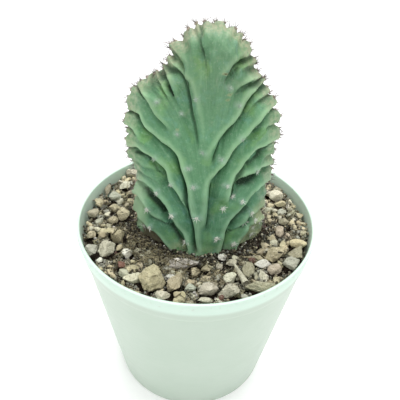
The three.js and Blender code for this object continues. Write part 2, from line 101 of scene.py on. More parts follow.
GRIT_CROSS = 0.8
GRIT_SINK = 0.35
LEAST_GRIT_REACH = 0.45
GRIT_FROM, GRIT_DENSE_TO, FAR_GRIT_LOSS = 0.97, 1.45, 0.45
ROUNDER_GRIT_FROM = 0.7
PALE_GRIT_SHARE = 0.27
BARK_COUNT = 46
FIBRE_COUNT = 900
FIBRE_SIDE = 4.1
FIBRE_SPREAD = 0.55
# Bark splinters and root fibres: nearness to the stem, least nearness, half length, radius, sides and rings
BARK_SHAPE = (1.15, 1.9), 1.12, (1.2, 4.2), (0.15, 0.4), (6, 6)
ROOT_SHAPE = (1.02, 1.6), 1.0, (0.5, 1.6), (0.08, 0.2), (4, 3)
TWIG_ROOT, TWIG_TIP = np.array((20.8, -37.4, 87.2)), np.array((16.4, -24.9, 86.6))
TWIG_BEND = np.array((-0.8, 0.3, 0.3))
TWIG_RADIUS = 1.5

# Stem: the foot is a lens on the ground, and the ribs flow from it to the growing edge
GROUND_Z = 82.0
FOOT_CENTRE_X = 1.0
FOOT_HALF = (28.0, 17.5)
FOOT_EXPONENT = 1.5
THICKNESS_TAPER = 0.35
EDGE_THINNING = 0.55
EDGE_THINNING_RATE = 6
BURIED_DEPTH = 3.5
LOBE_RATE = 18
LOBE_SQUARENESS = 0.6
EDGE_CUT = 0.4
EDGE_CUT_RATE = 14
EDGE_WAVE = 0.9
EDGE_WAVE_RATE = 0.8
FLOW_LEAN = 0.05
FLOW_RISE = 0.7
FLOW_REACH = 0.65
FLOW_LIFT = 0.25
FLOW_OVERRUN = 0.1

# Ribs and valleys
LEAN_CENTRE_X = 3.0
LEAN_REACH = 16.0
DEPTH_GAIN = 1.25
DEPTH_SHARE = 0.75
WIDEST_RIB = 14.0
STEEP_REACH = 2.2
RIDGE_SHARE = 0.8
BROAD_POWER = 1.8
STEEP_POWER = 1.45
VALLEY_BLEND = 4
FADE_LENGTH = 9.0
FAINT_VALLEY = 0.07
INNER_DEPTH = 0.6
INNER_REACH = 30.0
SHARP_DEPTH = 2.5
OVERHANG = 1.6
OVERHANG_REACH = 1.6
LIP_HEIGHT = 0.35
LIP_WIDTH = 1.25
FOLD_HEIGHT = 0.4
# Width of the painted shadow along each groove, and how much wider it spreads on the broad side
GROOVE_WIDTH = 0.55
GROOVE_SHADE = 2.6
SMALL_NOTCH_START = 0.9
SMALL_NOTCH_DEPTH = 0.7
SMALL_NOTCH_MIN_RIB = 4.8
NOTCH_SEED = 4
EDGE_BLEND = 0.12
COLUMNS = 240
COLUMN_SPREAD = [(0.05, 0.2), (0.5, 0.3), (1.0, 0.5)]
COARSE_STEP = 5
FRONT_ROWS = (128, 56)
BACK_ROWS = (70, 44)
FINE_FROM = 0.75

# The valleys between the ribs, from the foot on the left over the top to the foot on the right.
# Each has edge x, edge z, foot x, how far up its path it starts where it follows the flow, and its depth.
VALLEYS = np.array([
    (-26.5, 82, -27, 0, 0), (-26.7, 91, -15, 0, 3), (-26.8, 99.2, -9.5, 0.4, 1.8),
    (-24.8, 107.6, -4.6, 0, 4), (-25.4, 113.5, -3, 0.6, 2), (-26.6, 119.7, -2, 0.8, 1.8),
    (-27, 125.6, -1, 0.15, 3.2), (-27.8, 131, 0, 0.86, 1.7), (-27.4, 134.8, 1, 0.72, 2),
    (-26.1, 141.1, 2.3, 0, 3.4), (-26.4, 147.6, 2.6, 0.88, 1.8), (-23.3, 150.9, 2.8, 0.45, 3.2),
    (-20.4, 153.5, 3, 0.88, 1.8), (-17.9, 154.9, 3.1, 0.7, 2.4), (-14.8, 157.6, 3.2, 0.74, 3),
    (-12.6, 160.7, 3.3, 0.76, 3.2), (-10.1, 164.1, 3.4, 0.3, 3), (-7.3, 168.8, 3.6, 0.88, 2),
    (-2.8, 172.8, 3.8, 0.86, 1.8), (-0.9, 174.3, 3.9, 0.55, 2.8), (2.9, 175, 4.1, 0.92, 1.8),
    (7.7, 174.3, 4.3, 0.84, 2.2), (11.2, 173, 4.4, 0.88, 2), (13.5, 170.6, 4.6, 0.9, 1.8),
    (16.6, 165.5, 4.8, 0.7, 3.4), (17.8, 161.1, 5, 0.85, 2.2), (20.4, 157, 5.1, 0.76, 2.6),
    (22.6, 154.3, 5.2, 0.35, 3), (24.2, 150.2, 5.3, 0.8, 2.2), (26.9, 145.3, 5.5, 0, 3.4),
    (28.3, 138.3, 6.6, 0.8, 2), (28.9, 131.6, 8, 0.4, 4), (29.3, 123.6, 9, 0.86, 1.8),
    (29.4, 118.9, 9.6, 0.25, 4), (28.9, 110.5, 10.9, 0, 3.6), (27.9, 96.5, 14, 0.35, 2.4),
    (28.6, 90, 18, 0, 2.8), (28.5, 82, 29, 0, 0),
], float)
LAST = len(VALLEYS) - 1

# Tips of the lobes between those valleys, as x and z
TIPS = np.array([
    (-27.3, 86), (-27.4, 94.8), (-27.2, 103.5), (-25.6, 110.4), (-26.2, 116.5), (-28.6, 123.1),
    (-29.1, 128.1), (-28.2, 132.9), (-29.1, 137.6), (-27.9, 144.2), (-25.3, 149.8), (-22.5, 152.9),
    (-19.4, 155.7), (-16.4, 158.2), (-13.9, 161), (-11.9, 163.6), (-11, 168.2), (-6, 172.8), (-2.2, 175.2),
    (0.9, 176.1), (5.4, 176.5), (9.9, 174.6), (12.9, 172.9), (15.8, 169.8), (18.8, 163.6), (20.5, 158.6),
    (22.3, 156.6), (24.4, 153), (27.2, 149.2), (30, 142.6), (31, 135.2), (29.8, 127.5), (30.7, 121),
    (30.3, 115), (29.4, 104), (29.2, 92.8), (29.4, 86.5),
])

# Ways of the valleys down the front, as x and z in the plane of the fan. The others follow the flow.
FRONT_WAYS = {
    1: [(-22, 89), (-17, 86.5), (-12.5, 82.5)],
    2: [(-23.5, 101), (-20, 97), (-16, 95.5), (-10.5, 95)],
    3: [(-22.5, 110.3), (-19, 109.8), (-15, 107), (-12, 102), (-9, 96.5), (-5, 91), (-3, 84)],
    4: [(-22, 115), (-17, 114.5), (-13.5, 110.5)],
    5: [(-22, 118.7), (-16, 120.5), (-13, 119)],
    6: [(-24, 127.3), (-19, 127), (-15.5, 125.3), (-13, 122.5), (-11.5, 117), (-8, 112.5), (-5, 107),
        (-3, 100.5)],
    8: [(-25.5, 134), (-23.5, 132), (-21, 130)],
    9: [(-24.5, 141.5), (-21.5, 137.8), (-16, 135.5), (-9, 131), (-6.5, 124), (-4, 115.5), (-2.7, 106),
        (-1.2, 98.5), (0, 92), (1.2, 84)],
    11: [(-21, 149.5), (-17.5, 145), (-13, 141), (-9.5, 136)],
    13: [(-15.5, 155.3), (-12.5, 152), (-10, 149.5)],
    14: [(-13, 158.3), (-11.2, 155.7), (-8, 151.5)],
    15: [(-9, 161.5), (-6, 159), (-4.3, 154), (-3, 148), (-1.5, 142), (-0.5, 136), (-0.4, 130)],
    16: [(-9, 165.3), (-6.2, 161.7), (-4.8, 157)],
    17: [(-5.8, 169.8), (-3.3, 166.5)],
    19: [(-0.9, 172.5), (-0.9, 170.8), (-0.2, 168.5), (0.8, 166), (1.7, 161.5), (2.2, 157)],
    24: [(13, 165.8), (10.5, 163.3), (8.3, 160.2), (6, 156)],
    25: [(15.5, 162.5), (11.5, 161.5)],
    26: [(16.5, 157.6), (13.5, 155.3), (11, 151)],
    27: [(19.5, 154.5), (16.8, 151.3), (14.5, 146.5), (11, 142), (7.7, 137), (5.8, 131), (5.4, 123.5)],
    28: [(20.2, 150.3), (16.5, 147)],
    29: [(23.8, 145), (18.5, 139), (14, 134.3), (11.3, 128.5), (8, 123.5), (5.2, 118.5), (4.8, 111),
        (4.6, 101), (4.4, 91)],
    30: [(26, 139), (21.5, 136.5)],
    31: [(24.3, 130.8), (19.7, 129), (17.5, 124.3), (14.5, 119.5), (13.5, 112), (13.5, 105)],
    33: [(25, 120.6), (19.5, 120.6), (15.5, 118.4), (14, 111.5)],
    34: [(24, 109.7), (21.3, 105.7), (17, 101.3), (13.6, 96), (12.2, 88), (11.5, 82)],
    35: [(23, 97.7), (21.5, 95), (17.3, 92), (13.5, 90.8)],
    36: [(24.5, 92), (22.8, 88.6), (19.2, 82.5)],
}
# Depths on the front that differ from those above
FRONT_DEPTHS = {
    1: 4.0, 2: 3.8, 3: 5.6, 4: 1.4, 5: 1.4, 6: 4.6, 7: 0.9, 8: 2.4, 9: 3.8, 10: 0.7, 11: 2.2, 12: 0.7,
    13: 2.4, 14: 2.8, 15: 2.2, 16: 2.2, 17: 1.2, 18: 0.8, 19: 2.3, 20: 0.4, 21: 0.6, 22: 0.5, 23: 0.8,
    24: 3.4, 26: 2.9, 27: 3.2, 29: 4.0, 31: 5.0, 33: 6.6, 34: 4.0, 35: 3.2, 36: 3.6,
}

# Creases under the lips on the front, darkened with painted shade: half width, depth, and a way as x and z
CREASES = [
    (1.6, 2.4, [(17.6, 115.8), (20.5, 116), (24.8, 116.8)]),
    (1.1, 1.6, [(-22.5, 106.3), (-18.6, 104.8), (-14.3, 100)]),
    (1.0, 1.1, [(-11.6, 94), (-8.5, 89.8), (-5.4, 85.5)]),
    (0.8, 1.1, [(-25, 124.3), (-20.6, 123.9)]),
    (0.8, 0.8, [(-18.8, 123.3), (-14.3, 119.3)]),
    (0.9, 1.0, [(19.9, 125.3), (24.6, 126.8), (26.9, 129.2)]),
    (0.9, 1.0, [(14.6, 94), (17.9, 99.2), (21.9, 102.2)]),
    (0.9, 0.9, [(13.8, 91.2), (12.4, 86), (11.8, 83)]),
    (0.5, 1.6, [(-12, 156.3), (-11.3, 155), (-10.1, 153.4)]),
    (0.6, 0.8, [(11.2, 161.8), (13.3, 164)]),
    (0.45, 0.7, [(14.3, 155.4), (17.7, 157.4)]),
    (0.6, 0.8, [(15.1, 144.8), (16.3, 147.2), (17.3, 150.1)]),
    (0.6, 0.8, [(21.5, 138.7), (24.9, 143)]),
    (0.8, 0.8, [(-20, 94.1), (-15.9, 94.2), (-12.3, 93.6)]),
    (0.8, 1.0, [(-23.1, 85.4), (-18.7, 84), (-15.5, 83)]),
    (0.7, 0.9, [(15, 91.6), (19.8, 92.1)]),
    (0.3, 0.5, [(-9.5, 160.2), (-7.1, 158.2)]),
]
FULL_SHADE_DEPTH = 1.5

# Felt spots that show on the front of the ribs, as x and z in the plane of the fan
FRONT_AREOLES = [
    (-16, 128.4), (-9.5, 117.2), (-15.6, 111.3), (-8.9, 101.8), (-19.6, 100.3), (-19.2, 91), (-24.2, 85.5),
    (-2.4, 88.2), (1.2, 102.3), (-0.4, 117.2), (10.7, 105.8), (8.6, 91.2), (18, 108), (20.4, 95.7),
    (16.1, 84.9), (14.7, 110.5), (10.5, 117.8), (22.8, 122.8), (1.4, 132.9), (8.3, 129.8), (-3.3, 125.6),
    (-0.9, 153.5), (-6.7, 147.2), (13.3, 151), (10.2, 158), (-15.7, 150), (-8.1, 139.2), (15.1, 139),
    (22.9, 100.3), (25.1, 95.1), (26.5, 87.5), (25.2, 85.1), (27.4, 92), (27.8, 98.5), (24, 91.5),
]
BACK_AREOLE_COUNT = 24
BACK_AREOLE_SHIFT = (2, 3)
BACK_AREOLE_SIZE = 0.9
AREOLE_SIZE, SIZE_LOST_HIGH_UP, HIGH_UP = 1.2, 0.65, (92, 138)
AREOLE_SEED, HAIR_SEED = 21, 33
FELT_RADIUS = 0.8
FELT_HEIGHT = 0.4
TUBERCLE_RADIUS = 1.7
TUBERCLE_HEIGHT = 0.45
HALO_RADIUS = 1.5
HALO_STRENGTH = 1.6
ONE_AREOLE_LENGTH = 3.2
WOOL_COUNT = 26
WOOL_LENGTH, WOOL_RADIUS, WOOL_LEAN = (0.25, 0.7), 0.05, 1.4
# Spines of the faces and of the growing edge
SPINE_RADII = (0.15, 0.1)
SPINE_COUNTS = ((7, 10), (5, 10))
SPINE_TILTS = ((0.95, 1.35), (0.1, 1.1))
SPINE_LENGTHS = ((1.2, 2.3), (1.6, 4.0))
EDGE_WOOL, EDGE_HORN = np.array([(0.32, 0.28, 0.22), (0.14, 0.11, 0.10)])
FACE_WOOL = np.array([(0.62, 0.68, 0.58), (0.33, 0.46, 0.37)])
FACE_HORN = np.array([(0.93, 0.96, 0.89), (0.38, 0.49, 0.38)])

# Brown healed marks on the front, as x, z, half width and half height
SCARS = [(8.3, 162.8, 1.1, 0.45), (10.2, 155.4, 1.0, 0.3), (9.6, 153.6, 0.9, 0.25), (-8.2, 141, 0.5, 0.3)]

# The larger stones that show: x, y, half length, half width, turn in degrees, and colour
TAN, CREAM, WHITE, GREY, OLIVE, PINK, BARK, RUST = range(8)
PLACED_STONES = [
    (-17, -36, 5.9, 4.9, 70, TAN), (-33.5, 5, 5, 2.8, 85, TAN), (-37, -20.5, 4.3, 3.2, 65, CREAM),
    (-8, -38, 4.8, 2.9, 68, TAN), (25.5, -38, 4.8, 2.7, 10, OLIVE), (22, -28, 3.7, 3.4, 40, OLIVE),
    (43, -18, 3.6, 3.2, 60, OLIVE), (-4, -23.6, 5.9, 2.3, 4, WHITE), (-34, -10, 3.6, 3.2, 15, TAN),
    (34, -18, 4.4, 2.6, 14, TAN), (40.3, -24.1, 3.9, 2.8, 75, GREY), (43.8, -12, 3.9, 2.6, 20, TAN),
    (37.2, 22.3, 3.9, 2.7, -15, CREAM), (-43.7, -20.6, 3.8, 2.8, 75, GREY),
    (14.1, -41.3, 4.5, 2.2, -6, CREAM), (-32.8, 35, 3.5, 2.5, 20, CREAM),
    (-23.4, -36.1, 3.6, 2.5, 10, CREAM), (6.3, -40.1, 4, 2.2, 24, CREAM), (33.5, -27, 3, 2.8, 50, PINK),
    (-47, 2.2, 3, 2.3, 30, OLIVE), (28.2, -23.4, 3.7, 2, 0, WHITE), (-28.3, -20.7, 2.9, 2.2, 10, WHITE),
    (14.7, -32.6, 2.8, 2.4, 20, CREAM), (-35.9, 24.8, 2.7, 2.4, 70, CREAM),
    (-39.4, 15.9, 2.9, 2.3, 20, GREY), (37.6, -2.1, 3.1, 2.1, 80, PINK), (-45.4, 9.8, 3, 1.9, 80, TAN),
    (-38.3, 8.4, 2.4, 2.3, 0, TAN), (39.8, 3.6, 2.4, 2.3, 0, OLIVE), (-37.8, -0.6, 2.7, 2, 0, TAN),
    (-43.1, 21.6, 2.6, 2, 75, OLIVE), (-11.2, -44.8, 2.9, 1.7, 0, CREAM), (39.1, 16, 2.4, 2, 0, TAN),
    (5.4, -25.8, 2.3, 1.9, 15, TAN), (-27.6, -33.7, 2.4, 1.9, -20, CREAM), (0.6, -29, 2.4, 1.9, 75, TAN),
    (-44.9, -11.9, 2.2, 2, 60, TAN), (-1.1, -39.2, 2.3, 1.8, 0, GREY), (15.7, -21.9, 2.3, 1.7, 10, CREAM),
    (-29.7, -28.8, 2.1, 1.8, 80, RUST), (4.9, -45.8, 2.7, 1.5, 0, CREAM), (11.7, -18.8, 2, 1.7, 40, WHITE),
]
STONE_COLOURS = np.array([
    (0.62, 0.56, 0.37), (0.72, 0.70, 0.54), (0.89, 0.88, 0.78), (0.47, 0.48, 0.39), (0.42, 0.40, 0.28),
    (0.55, 0.48, 0.36), (0.125, 0.11, 0.065), (0.22, 0.12, 0.09),
])
STONE_SHARES = [0.42, 0.24, 0.03, 0.10, 0.14, 0.03, 0.03, 0.01]
GRIT_SHARES = [0.22, 0.12, 0.04, 0.12, 0.17, 0.04, 0.28, 0.01]

# Camera: its place and axes in the part's frame, and its lens
CAMERA_PLACE = (1.289, -182.265, 240.007)
CAMERA_RIGHT = (0.999, 0.0278, 0.0359)
CAMERA_UP = (-0.0454, 0.6123, 0.7893)
CAMERA_BACK = (0.0, -0.7902, 0.6129)
CAMERA_LENS = 47.73
FILM_WIDTH = 36.0

# Lights, each with its place, its size and its power, and the floor
LIGHT_TARGET = (0, 0, 110)
LIGHTS = [
    ("sky_panel", (20, 120, 700), 600, 5.5),
    ("front_panel", (260, -480, 560), 400, 1.0),
    ("left_panel", (-620, -160, 260), 400, 0.6),
]
FLOOR_HALF = 3000.0
ROOM_LIGHT = 0.6


# Small tools
def smooth_step(low, high, value):
    t = np.clip((np.asarray(value, float) - low) / (high - low), 0, 1)
    return t * t * (3 - 2 * t)


def between(share, low, high):
    return low + (high - low) * share


def bell(distance, reach):
    """1 at no distance, fading smoothly to nothing past the reach."""
    return np.exp(-(distance / reach) ** 2)


def norm(vectors):
    return np.linalg.norm(vectors, axis=-1)


def unit(vectors):
    return vectors / np.maximum(norm(vectors)[..., None], 1e-9)


def run_along(points):
    """The length of a line up to each of its points."""
    return np.concatenate([[0], np.cumsum(norm(np.diff(points, axis=0)))])


def circle(count, shift=0):
    """Angles of points spread evenly round a circle."""
    return (np.arange(count) + shift) / count * FULL_TURN


def ring(radius, count, shift=0):
    """Points spread evenly round a circle, as x and y."""
    angles = circle(count, shift)
    return np.stack([radius * np.cos(angles), radius * np.sin(angles)], -1)


def rings(radius, z, count):
    """Rings of points round the upright axis, from columns of radii and heights."""
    return np.dstack([ring(radius, count), np.broadcast_to(z, (len(z), count))])


def ripple(points, wavelength, seed, count=10):
    """Smooth seeded noise with a spread of about 1, as a sum of waves in random directions."""
    random = np.random.default_rng(seed)
    directions = unit(random.normal(size=(count, 3)))
    rates = FULL_TURN / (wavelength * random.uniform(0.65, 1.5, count))
    phases = random.uniform(0, FULL_TURN, count)
    waves = np.sin(points @ (directions * rates[:, None]).T + phases)
    return waves.sum(-1) / math.sqrt(count / 2)


def make_mesh(name, points, faces, smooth=True, **attributes):
    """A mesh object from points in millimetres, whose attributes have a value, vector or colour a point."""
    mesh = bpy.data.meshes.new(name)
    mesh.from_pydata((np.asarray(points) * MM).tolist(), [], np.asarray(faces).tolist())
    mesh.polygons.foreach_set("use_smooth", np.full(len(mesh.polygons), smooth))
    for key, values in attributes.items():
        values = np.asarray(values, np.float32)
        kind, field = ATTRIBUTE_KINDS[values.size // len(values)]
        mesh.attributes.new(key, kind, "POINT").data.foreach_set(field, values.ravel())
    mesh.update()
    piece = bpy.data.objects.new(name, mesh)
    bpy.context.scene.collection.objects.link(piece)
    return piece


def finish_piece(piece, material, slot, *nodes):
    piece.data.materials.append(material)
    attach(piece, "root")
    if nodes:
        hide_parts(*nodes)


def real_ones(triangles):
    """The triangles that haven't shrunk to a line."""
    a, b, c = triangles.T
    return triangles[(a != b) & (b != c) & (a != c)]


def grid_faces(ids, is_round=False):
    """Triangles of a grid of point numbers, whose columns may close in a circle."""
    if is_round:
        ids = np.concatenate([ids, ids[:, :1]], 1)
    a, b, c, d = ids[:-1, :-1], ids[:-1, 1:], ids[1:, 1:], ids[1:, :-1]
    halves = [np.stack(corners, -1).reshape(-1, 3) for corners in ((a, b, c), (a, c, d))]
    return real_ones(np.concatenate(halves))


class Joined:
    """Collects small shapes in one mesh."""

    def __init__(self):
        self.points, self.faces, self.tints, self.count = [], [], [], 0

    def add(self, points, faces, tint):
        self.points.append(points)
        self.faces.append(faces + self.count)
        self.tints.append(np.broadcast_to((*tint, 1), (len(points), 4)))
        self.count += len(points)

    def make(self, name, smooth=True):
        points, faces, tints = (np.concatenate(parts) for parts in (self.points, self.faces, self.tints))
        return make_mesh(name, points, faces, smooth, tint=tints)


def ball(subdivisions):
    """Points and triangles of a unit sphere, made by splitting the faces of an icosahedron."""
    golden = (1 + math.sqrt(5)) / 2
    points = [np.roll((a, b * golden, 0.0), turn) for turn in range(3) for a in (-1, 1) for b in (-1, 1)]
    edges = {pair for pair in combinations(range(12), 2) if math.dist(*(points[i] for i in pair)) < 2.1}
    faces = [ids for ids in combinations(range(12), 3) if edges.issuperset(combinations(ids, 2))]
    faces = [ids if np.linalg.det([points[i] for i in ids]) > 0 else ids[::-1] for ids in faces]
    for _ in range(subdivisions):
        halves = {}

        def half(*ends):
            if frozenset(ends) not in halves:
                halves[frozenset(ends)] = len(points)
                points.append((points[ends[0]] + points[ends[1]]) / 2)
            return halves[frozenset(ends)]

        split = []
        for i, j, k in faces:
            a, b, c = half(i, j), half(j, k), half(k, i)
            split += [(i, a, c), (j, b, a), (k, c, b), (a, b, c)]
        faces = split
    return unit(np.array(points)), np.array(faces)


# Shape of the stem
def foot_depth_at(x):
    q = np.minimum(1, np.abs(x - FOOT_CENTRE_X) / FOOT_HALF[0])
    return FOOT_HALF[1] * (1 - q ** FOOT_EXPONENT) ** (1 / FOOT_EXPONENT)


def spline(a, b, c, d, t):
    """The smooth curve from b to c that also takes in a before and d after them."""
    return b + 0.5 * t * (c - a + t * (2 * a - 5 * b + 4 * c - d + t * (3 * b - a - 3 * c + d)))


def bezier(a, b, c, d, t):
    """The curve from a to d that b and c pull."""
    w = 1 - t
    return w ** 3 * a + 3 * w * w * t * b + 3 * w * t * t * c + t ** 3 * d


def edge_at(s):
    """Edge x, edge z and foot x at valley number s, which may lie between two."""
    index = np.clip(np.floor(s).astype(int), 0, LAST - 1)
    corners = (VALLEYS[np.clip(index + i, 0, LAST), :3] for i in (-1, 0, 1, 2))
    return np.moveaxis(spline(*corners, (s - index)[..., None]), -1, 0)


def body_at(s, angle):
    """The smooth body under the ribs. The angle is 0 at the front foot, a quarter turn at the edge."""
    edge_x, edge_z, foot_x = edge_at(s)
    v = np.sin(angle)
    across, up = edge_x - foot_x, edge_z - GROUND_Z
    x = bezier(foot_x, foot_x + FLOW_LEAN * across, foot_x + FLOW_REACH * across, edge_x, v)
    z = bezier(GROUND_Z, GROUND_Z + FLOW_RISE * up, edge_z + FLOW_LIFT * np.abs(across), edge_z, v)
    swell = np.sqrt(1 + v * v) * (1 - EDGE_THINNING * v ** EDGE_THINNING_RATE)
    depth = foot_depth_at(foot_x) * (1 - THICKNESS_TAPER * v) * swell * np.cos(angle)
    return np.stack([x, EDGE_WAVE * np.sin(s * EDGE_WAVE_RATE) * v * v - depth, z], -1)


def upright(flat):
    """Vectors in the plane of the fan, as vectors in space."""
    return np.insert(flat, 1, 0, axis=1)


def lobe_at(s, angle):
    """The push from the smooth body out to the lobes of the growing edge."""
    index = np.clip(np.floor(s).astype(int), 0, LAST - 1)
    t = np.clip(s - index, 0, 1)
    push = TIPS[index] - (VALLEYS[index, :2] + VALLEYS[index + 1, :2]) / 2
    return upright(push * ((4 * t * (1 - t)) ** LOBE_SQUARENESS * np.sin(angle) ** LOBE_RATE)[:, None])


def normal_at(s, angle):
    """The outward normal of the smooth body."""
    ds, da = 0.05, 0.01
    along = body_at(np.minimum(s + ds, LAST), angle) - body_at(np.maximum(s - ds, 0), angle)
    rising = body_at(s, angle + da) - body_at(s, angle - da)
    return unit(np.cross(along, rising))


def lean_at(x):
    return np.clip((x - LEAN_CENTRE_X) / LEAN_REACH, -1, 1)


def smooth_way(points, step=0.5):
    """A smooth line through points, as places about one step apart."""
    points = np.array(points, float)
    padded = np.concatenate([2 * points[:1] - points[1:2], points, 2 * points[-1:] - points[-2:-1]])
    pieces = []
    for corners in zip(padded[:-3], padded[1:-2], padded[2:-1], padded[3:]):
        count = max(2, math.ceil(np.linalg.norm(corners[2] - corners[1]) / step))
        pieces.append(spline(*corners, np.linspace(0, 1, count, endpoint=False)[:, None]))
    return np.concatenate([*pieces, points[-1:]])


class Valley:
    """One valley on one face, as a way from the growing edge inwards that fades out at its inner end."""

    def __init__(self, way, depth):
        self.way = way
        steps = run_along(way)
        left = steps[-1] - steps
        reaches_ground = way[-1, 1] < GROUND_Z + 3
        fading = smooth_step(0, min(FADE_LENGTH, 0.8 * steps[-1]), left)
        self.open = np.ones(len(way)) if reaches_ground else fading
        self.depth = depth * between(smooth_step(0, INNER_REACH, left) ** 0.5, INNER_DEPTH, 1)
        tangent = unit(np.gradient(way, axis=0))
        self.lean = lean_at(way[:, 0] * 0.5 + way[0, 0] * 0.5)
        turn = np.where(self.lean < 0, 1.0, -1.0)
        self.inward = np.stack([-tangent[:, 1], tangent[:, 0]], -1) * turn[:, None]

    def beside(self, points):
        """Distance of each point, its side (1 where the steep wall is), and the nearest step of the way."""
        coarse = np.arange(0, len(self.way), COARSE_STEP)
        rough = ((points[:, None] - self.way[coarse][None]) ** 2).sum(-1).argmin(1) * COARSE_STEP
        window = np.clip(rough[:, None] + np.arange(-COARSE_STEP, COARSE_STEP + 1), 0, len(self.way) - 1)
        apart = ((points[:, None] - self.way[window]) ** 2).sum(-1)
        nearest = window[np.arange(len(points)), apart.argmin(1)]
        along = ((points - self.way[nearest]) * self.inward[nearest]).sum(-1)
        return np.sqrt(apart.min(1)), np.where(along > 0, 1, -1), nearest

    def carve(self, distance, side, nearest, other, below):
        """Depth, lip, painted groove shadow and overhang at points, from how far off this and other valleys
        are.
        """
        depth, is_open, lean = self.depth[nearest], self.open[nearest], np.abs(self.lean[nearest])
        is_steep = side > 0
        width = np.minimum(distance + other, WIDEST_RIB)
        even = 0.5 * width
        steep = between(lean, even, np.minimum(STEEP_REACH, even))
        broad = between(lean, even, np.clip(RIDGE_SHARE * (distance + below), 0.5, WIDEST_RIB))
        power = between(is_steep * lean, BROAD_POWER, STEEP_POWER)
        deep = np.minimum(depth, DEPTH_SHARE * width) * is_open
        deep = deep * np.clip(1 - distance / np.where(is_steep, steep, broad), 0, None) ** power
        sharp = is_open * np.minimum(1, depth / SHARP_DEPTH)
        strength = sharp * lean * is_steep
        lip = strength * bell(distance - steep, LIP_WIDTH)
        over = strength * smooth_step(0.3, 1.6, distance)
        over = over * bell(np.maximum(distance - steep, 0), OVERHANG_REACH)
        spread = np.where(is_steep, 1, between(lean, 1, GROOVE_SHADE)) * GROOVE_WIDTH
        groove_shadow = sharp * bell(distance, spread)
        return deep, lip, groove_shadow, -self.inward[nearest] * over[:, None] * OVERHANG


def flow_way(number, start):
    """The way of a valley that follows the flow from the edge down to a share of its path."""
    rise = np.linspace(1, start, 24)
    return smooth_way(body_at(np.full(len(rise), float(number)), np.arcsin(rise))[:, (0, 2)])


def small_notches(random):
    """Places on the edge where a wide lobe has a notch of its own."""
    widths = norm(np.diff(VALLEYS[:, :2], axis=0))
    places = [k + random.uniform(0.3, 0.7) for k in range(2, LAST - 2)]
    return [s for s in places if widths[int(s)] > SMALL_NOTCH_MIN_RIB]


def all_valleys(is_back):
    valleys = []
    for k in range(1, LAST):
        start = VALLEYS[min(k + 1, LAST - 1), 3] if is_back else VALLEYS[k, 3]
        depth = VALLEYS[k, 4] * DEPTH_GAIN if is_back else FRONT_DEPTHS.get(k, VALLEYS[k, 4])
        if k in FRONT_WAYS and not is_back:
            way = smooth_way([VALLEYS[k, :2], *FRONT_WAYS[k]])
        else:
            way = flow_way(k, max(0, start - FLOW_OVERRUN))
        valleys.append(Valley(way, depth))
    random = np.random.default_rng(NOTCH_SEED)
    for s in small_notches(random):
        way = flow_way(s, SMALL_NOTCH_START + random.uniform(-0.08, 0.05))
        valleys.append(Valley(way, SMALL_NOTCH_DEPTH * random.uniform(0.5, 1.2)))
    return valleys


FACES = [all_valleys(False), all_valleys(True)]
NOTCHES = sorted([*range(1, LAST), *small_notches(np.random.default_rng(NOTCH_SEED))])


def relief_on(valleys, points):
    """Depth below the ridges, nearness of a lip and of a painted groove shadow, and overhang at points of
    one face.
    """
    found = [valley.beside(points) for valley in valleys]
    apart = np.array([d / np.maximum(v.open[n], FAINT_VALLEY) for v, (d, _, n) in zip(valleys, found)])
    below = np.where(np.array([side for _, side, _ in found]) > 0, apart, WIDEST_RIB).min(0)
    first, second = np.sort(apart, axis=0)[:2]
    closest = apart.argmin(0)
    carved = [valley.carve(*places, np.where(closest == i, second, first), below)
              for i, (valley, places) in enumerate(zip(valleys, found))]
    deep, lip, groove_shadow, shift = (np.array(values) for values in zip(*carved))
    shift = shift.sum(0)
    depth = (deep ** VALLEY_BLEND).sum(0) ** (1 / VALLEY_BLEND)
    return depth, lip.max(0), groove_shadow.max(0), shift / np.maximum(1, norm(shift) / OVERHANG)[:, None]


def creases_on(points):
    """The painted shade of the creases and their depth at points in the plane of the fan."""
    shade, depth = np.zeros((2, len(points)))
    for half_width, deep, way in CREASES:
        near = bell(norm(points[:, None] - smooth_way(way)[None]).min(1), half_width)
        shade = np.maximum(shade, near * min(1, deep / FULL_SHADE_DEPTH))
        depth = np.maximum(depth, near * deep)
    return shade, depth


def skin(s, angle, tubercles=()):
    """Points of the ribbed skin at valley numbers and angles, its normals, and values that colour it."""
    base, normal, v = body_at(s, angle), normal_at(s, angle), np.sin(angle)
    flat = base[:, (0, 2)]
    behind = smooth_step(-EDGE_BLEND, EDGE_BLEND, angle - math.pi / 2)
    cut, lip, groove_shadow, halo = np.zeros((4, len(s)))
    shift = np.zeros((len(s), 2))
    for valleys, share in zip(FACES, (1 - behind, behind)):
        here = share > 0
        for target, value in zip((cut, lip, groove_shadow, shift), relief_on(valleys, flat[here])):
            target[here] += (value.T * share[here]).T
    shade, crease_depth = (values * (1 - behind) for values in creases_on(flat))
    cut = (cut + crease_depth) * (1 - (1 - EDGE_CUT) * v ** EDGE_CUT_RATE)
    pole = smooth_step(0, 0.6, np.minimum(s, LAST - s))
    folds = ripple(np.stack([s * 4, v * 9, behind * 9], -1), 4, 13)
    height = (LIP_HEIGHT * lip - cut) * pole + 0.1 * ripple(base, 5, 11) + 0.2 * ripple(base, 14, 12)
    height = height + FOLD_HEIGHT * folds * smooth_step(0.3, 0.7, v) * (1 - smooth_step(0.85, 1, v))
    for centre, size in tubercles:
        apart = norm(base - centre)
        height = height + TUBERCLE_HEIGHT * size * bell(apart, TUBERCLE_RADIUS)
        halo = np.maximum(halo, min(1, HALO_STRENGTH * size) * bell(apart, HALO_RADIUS))
    slide = upright(shift) * pole[:, None]
    slide = slide - normal * (slide * normal).sum(-1, keepdims=True)
    points = base + normal * height[:, None] + slide + lobe_at(s, angle)
    # These values also set the painted highlight on ridges and lips and the painted shade in valleys,
    # grooves and creases
    return points, normal, {"valley": cut, "lip": lip, "groove_shadow": groove_shadow, "shade": shade, "halo": halo,
                            "young": v, "lobe": s}


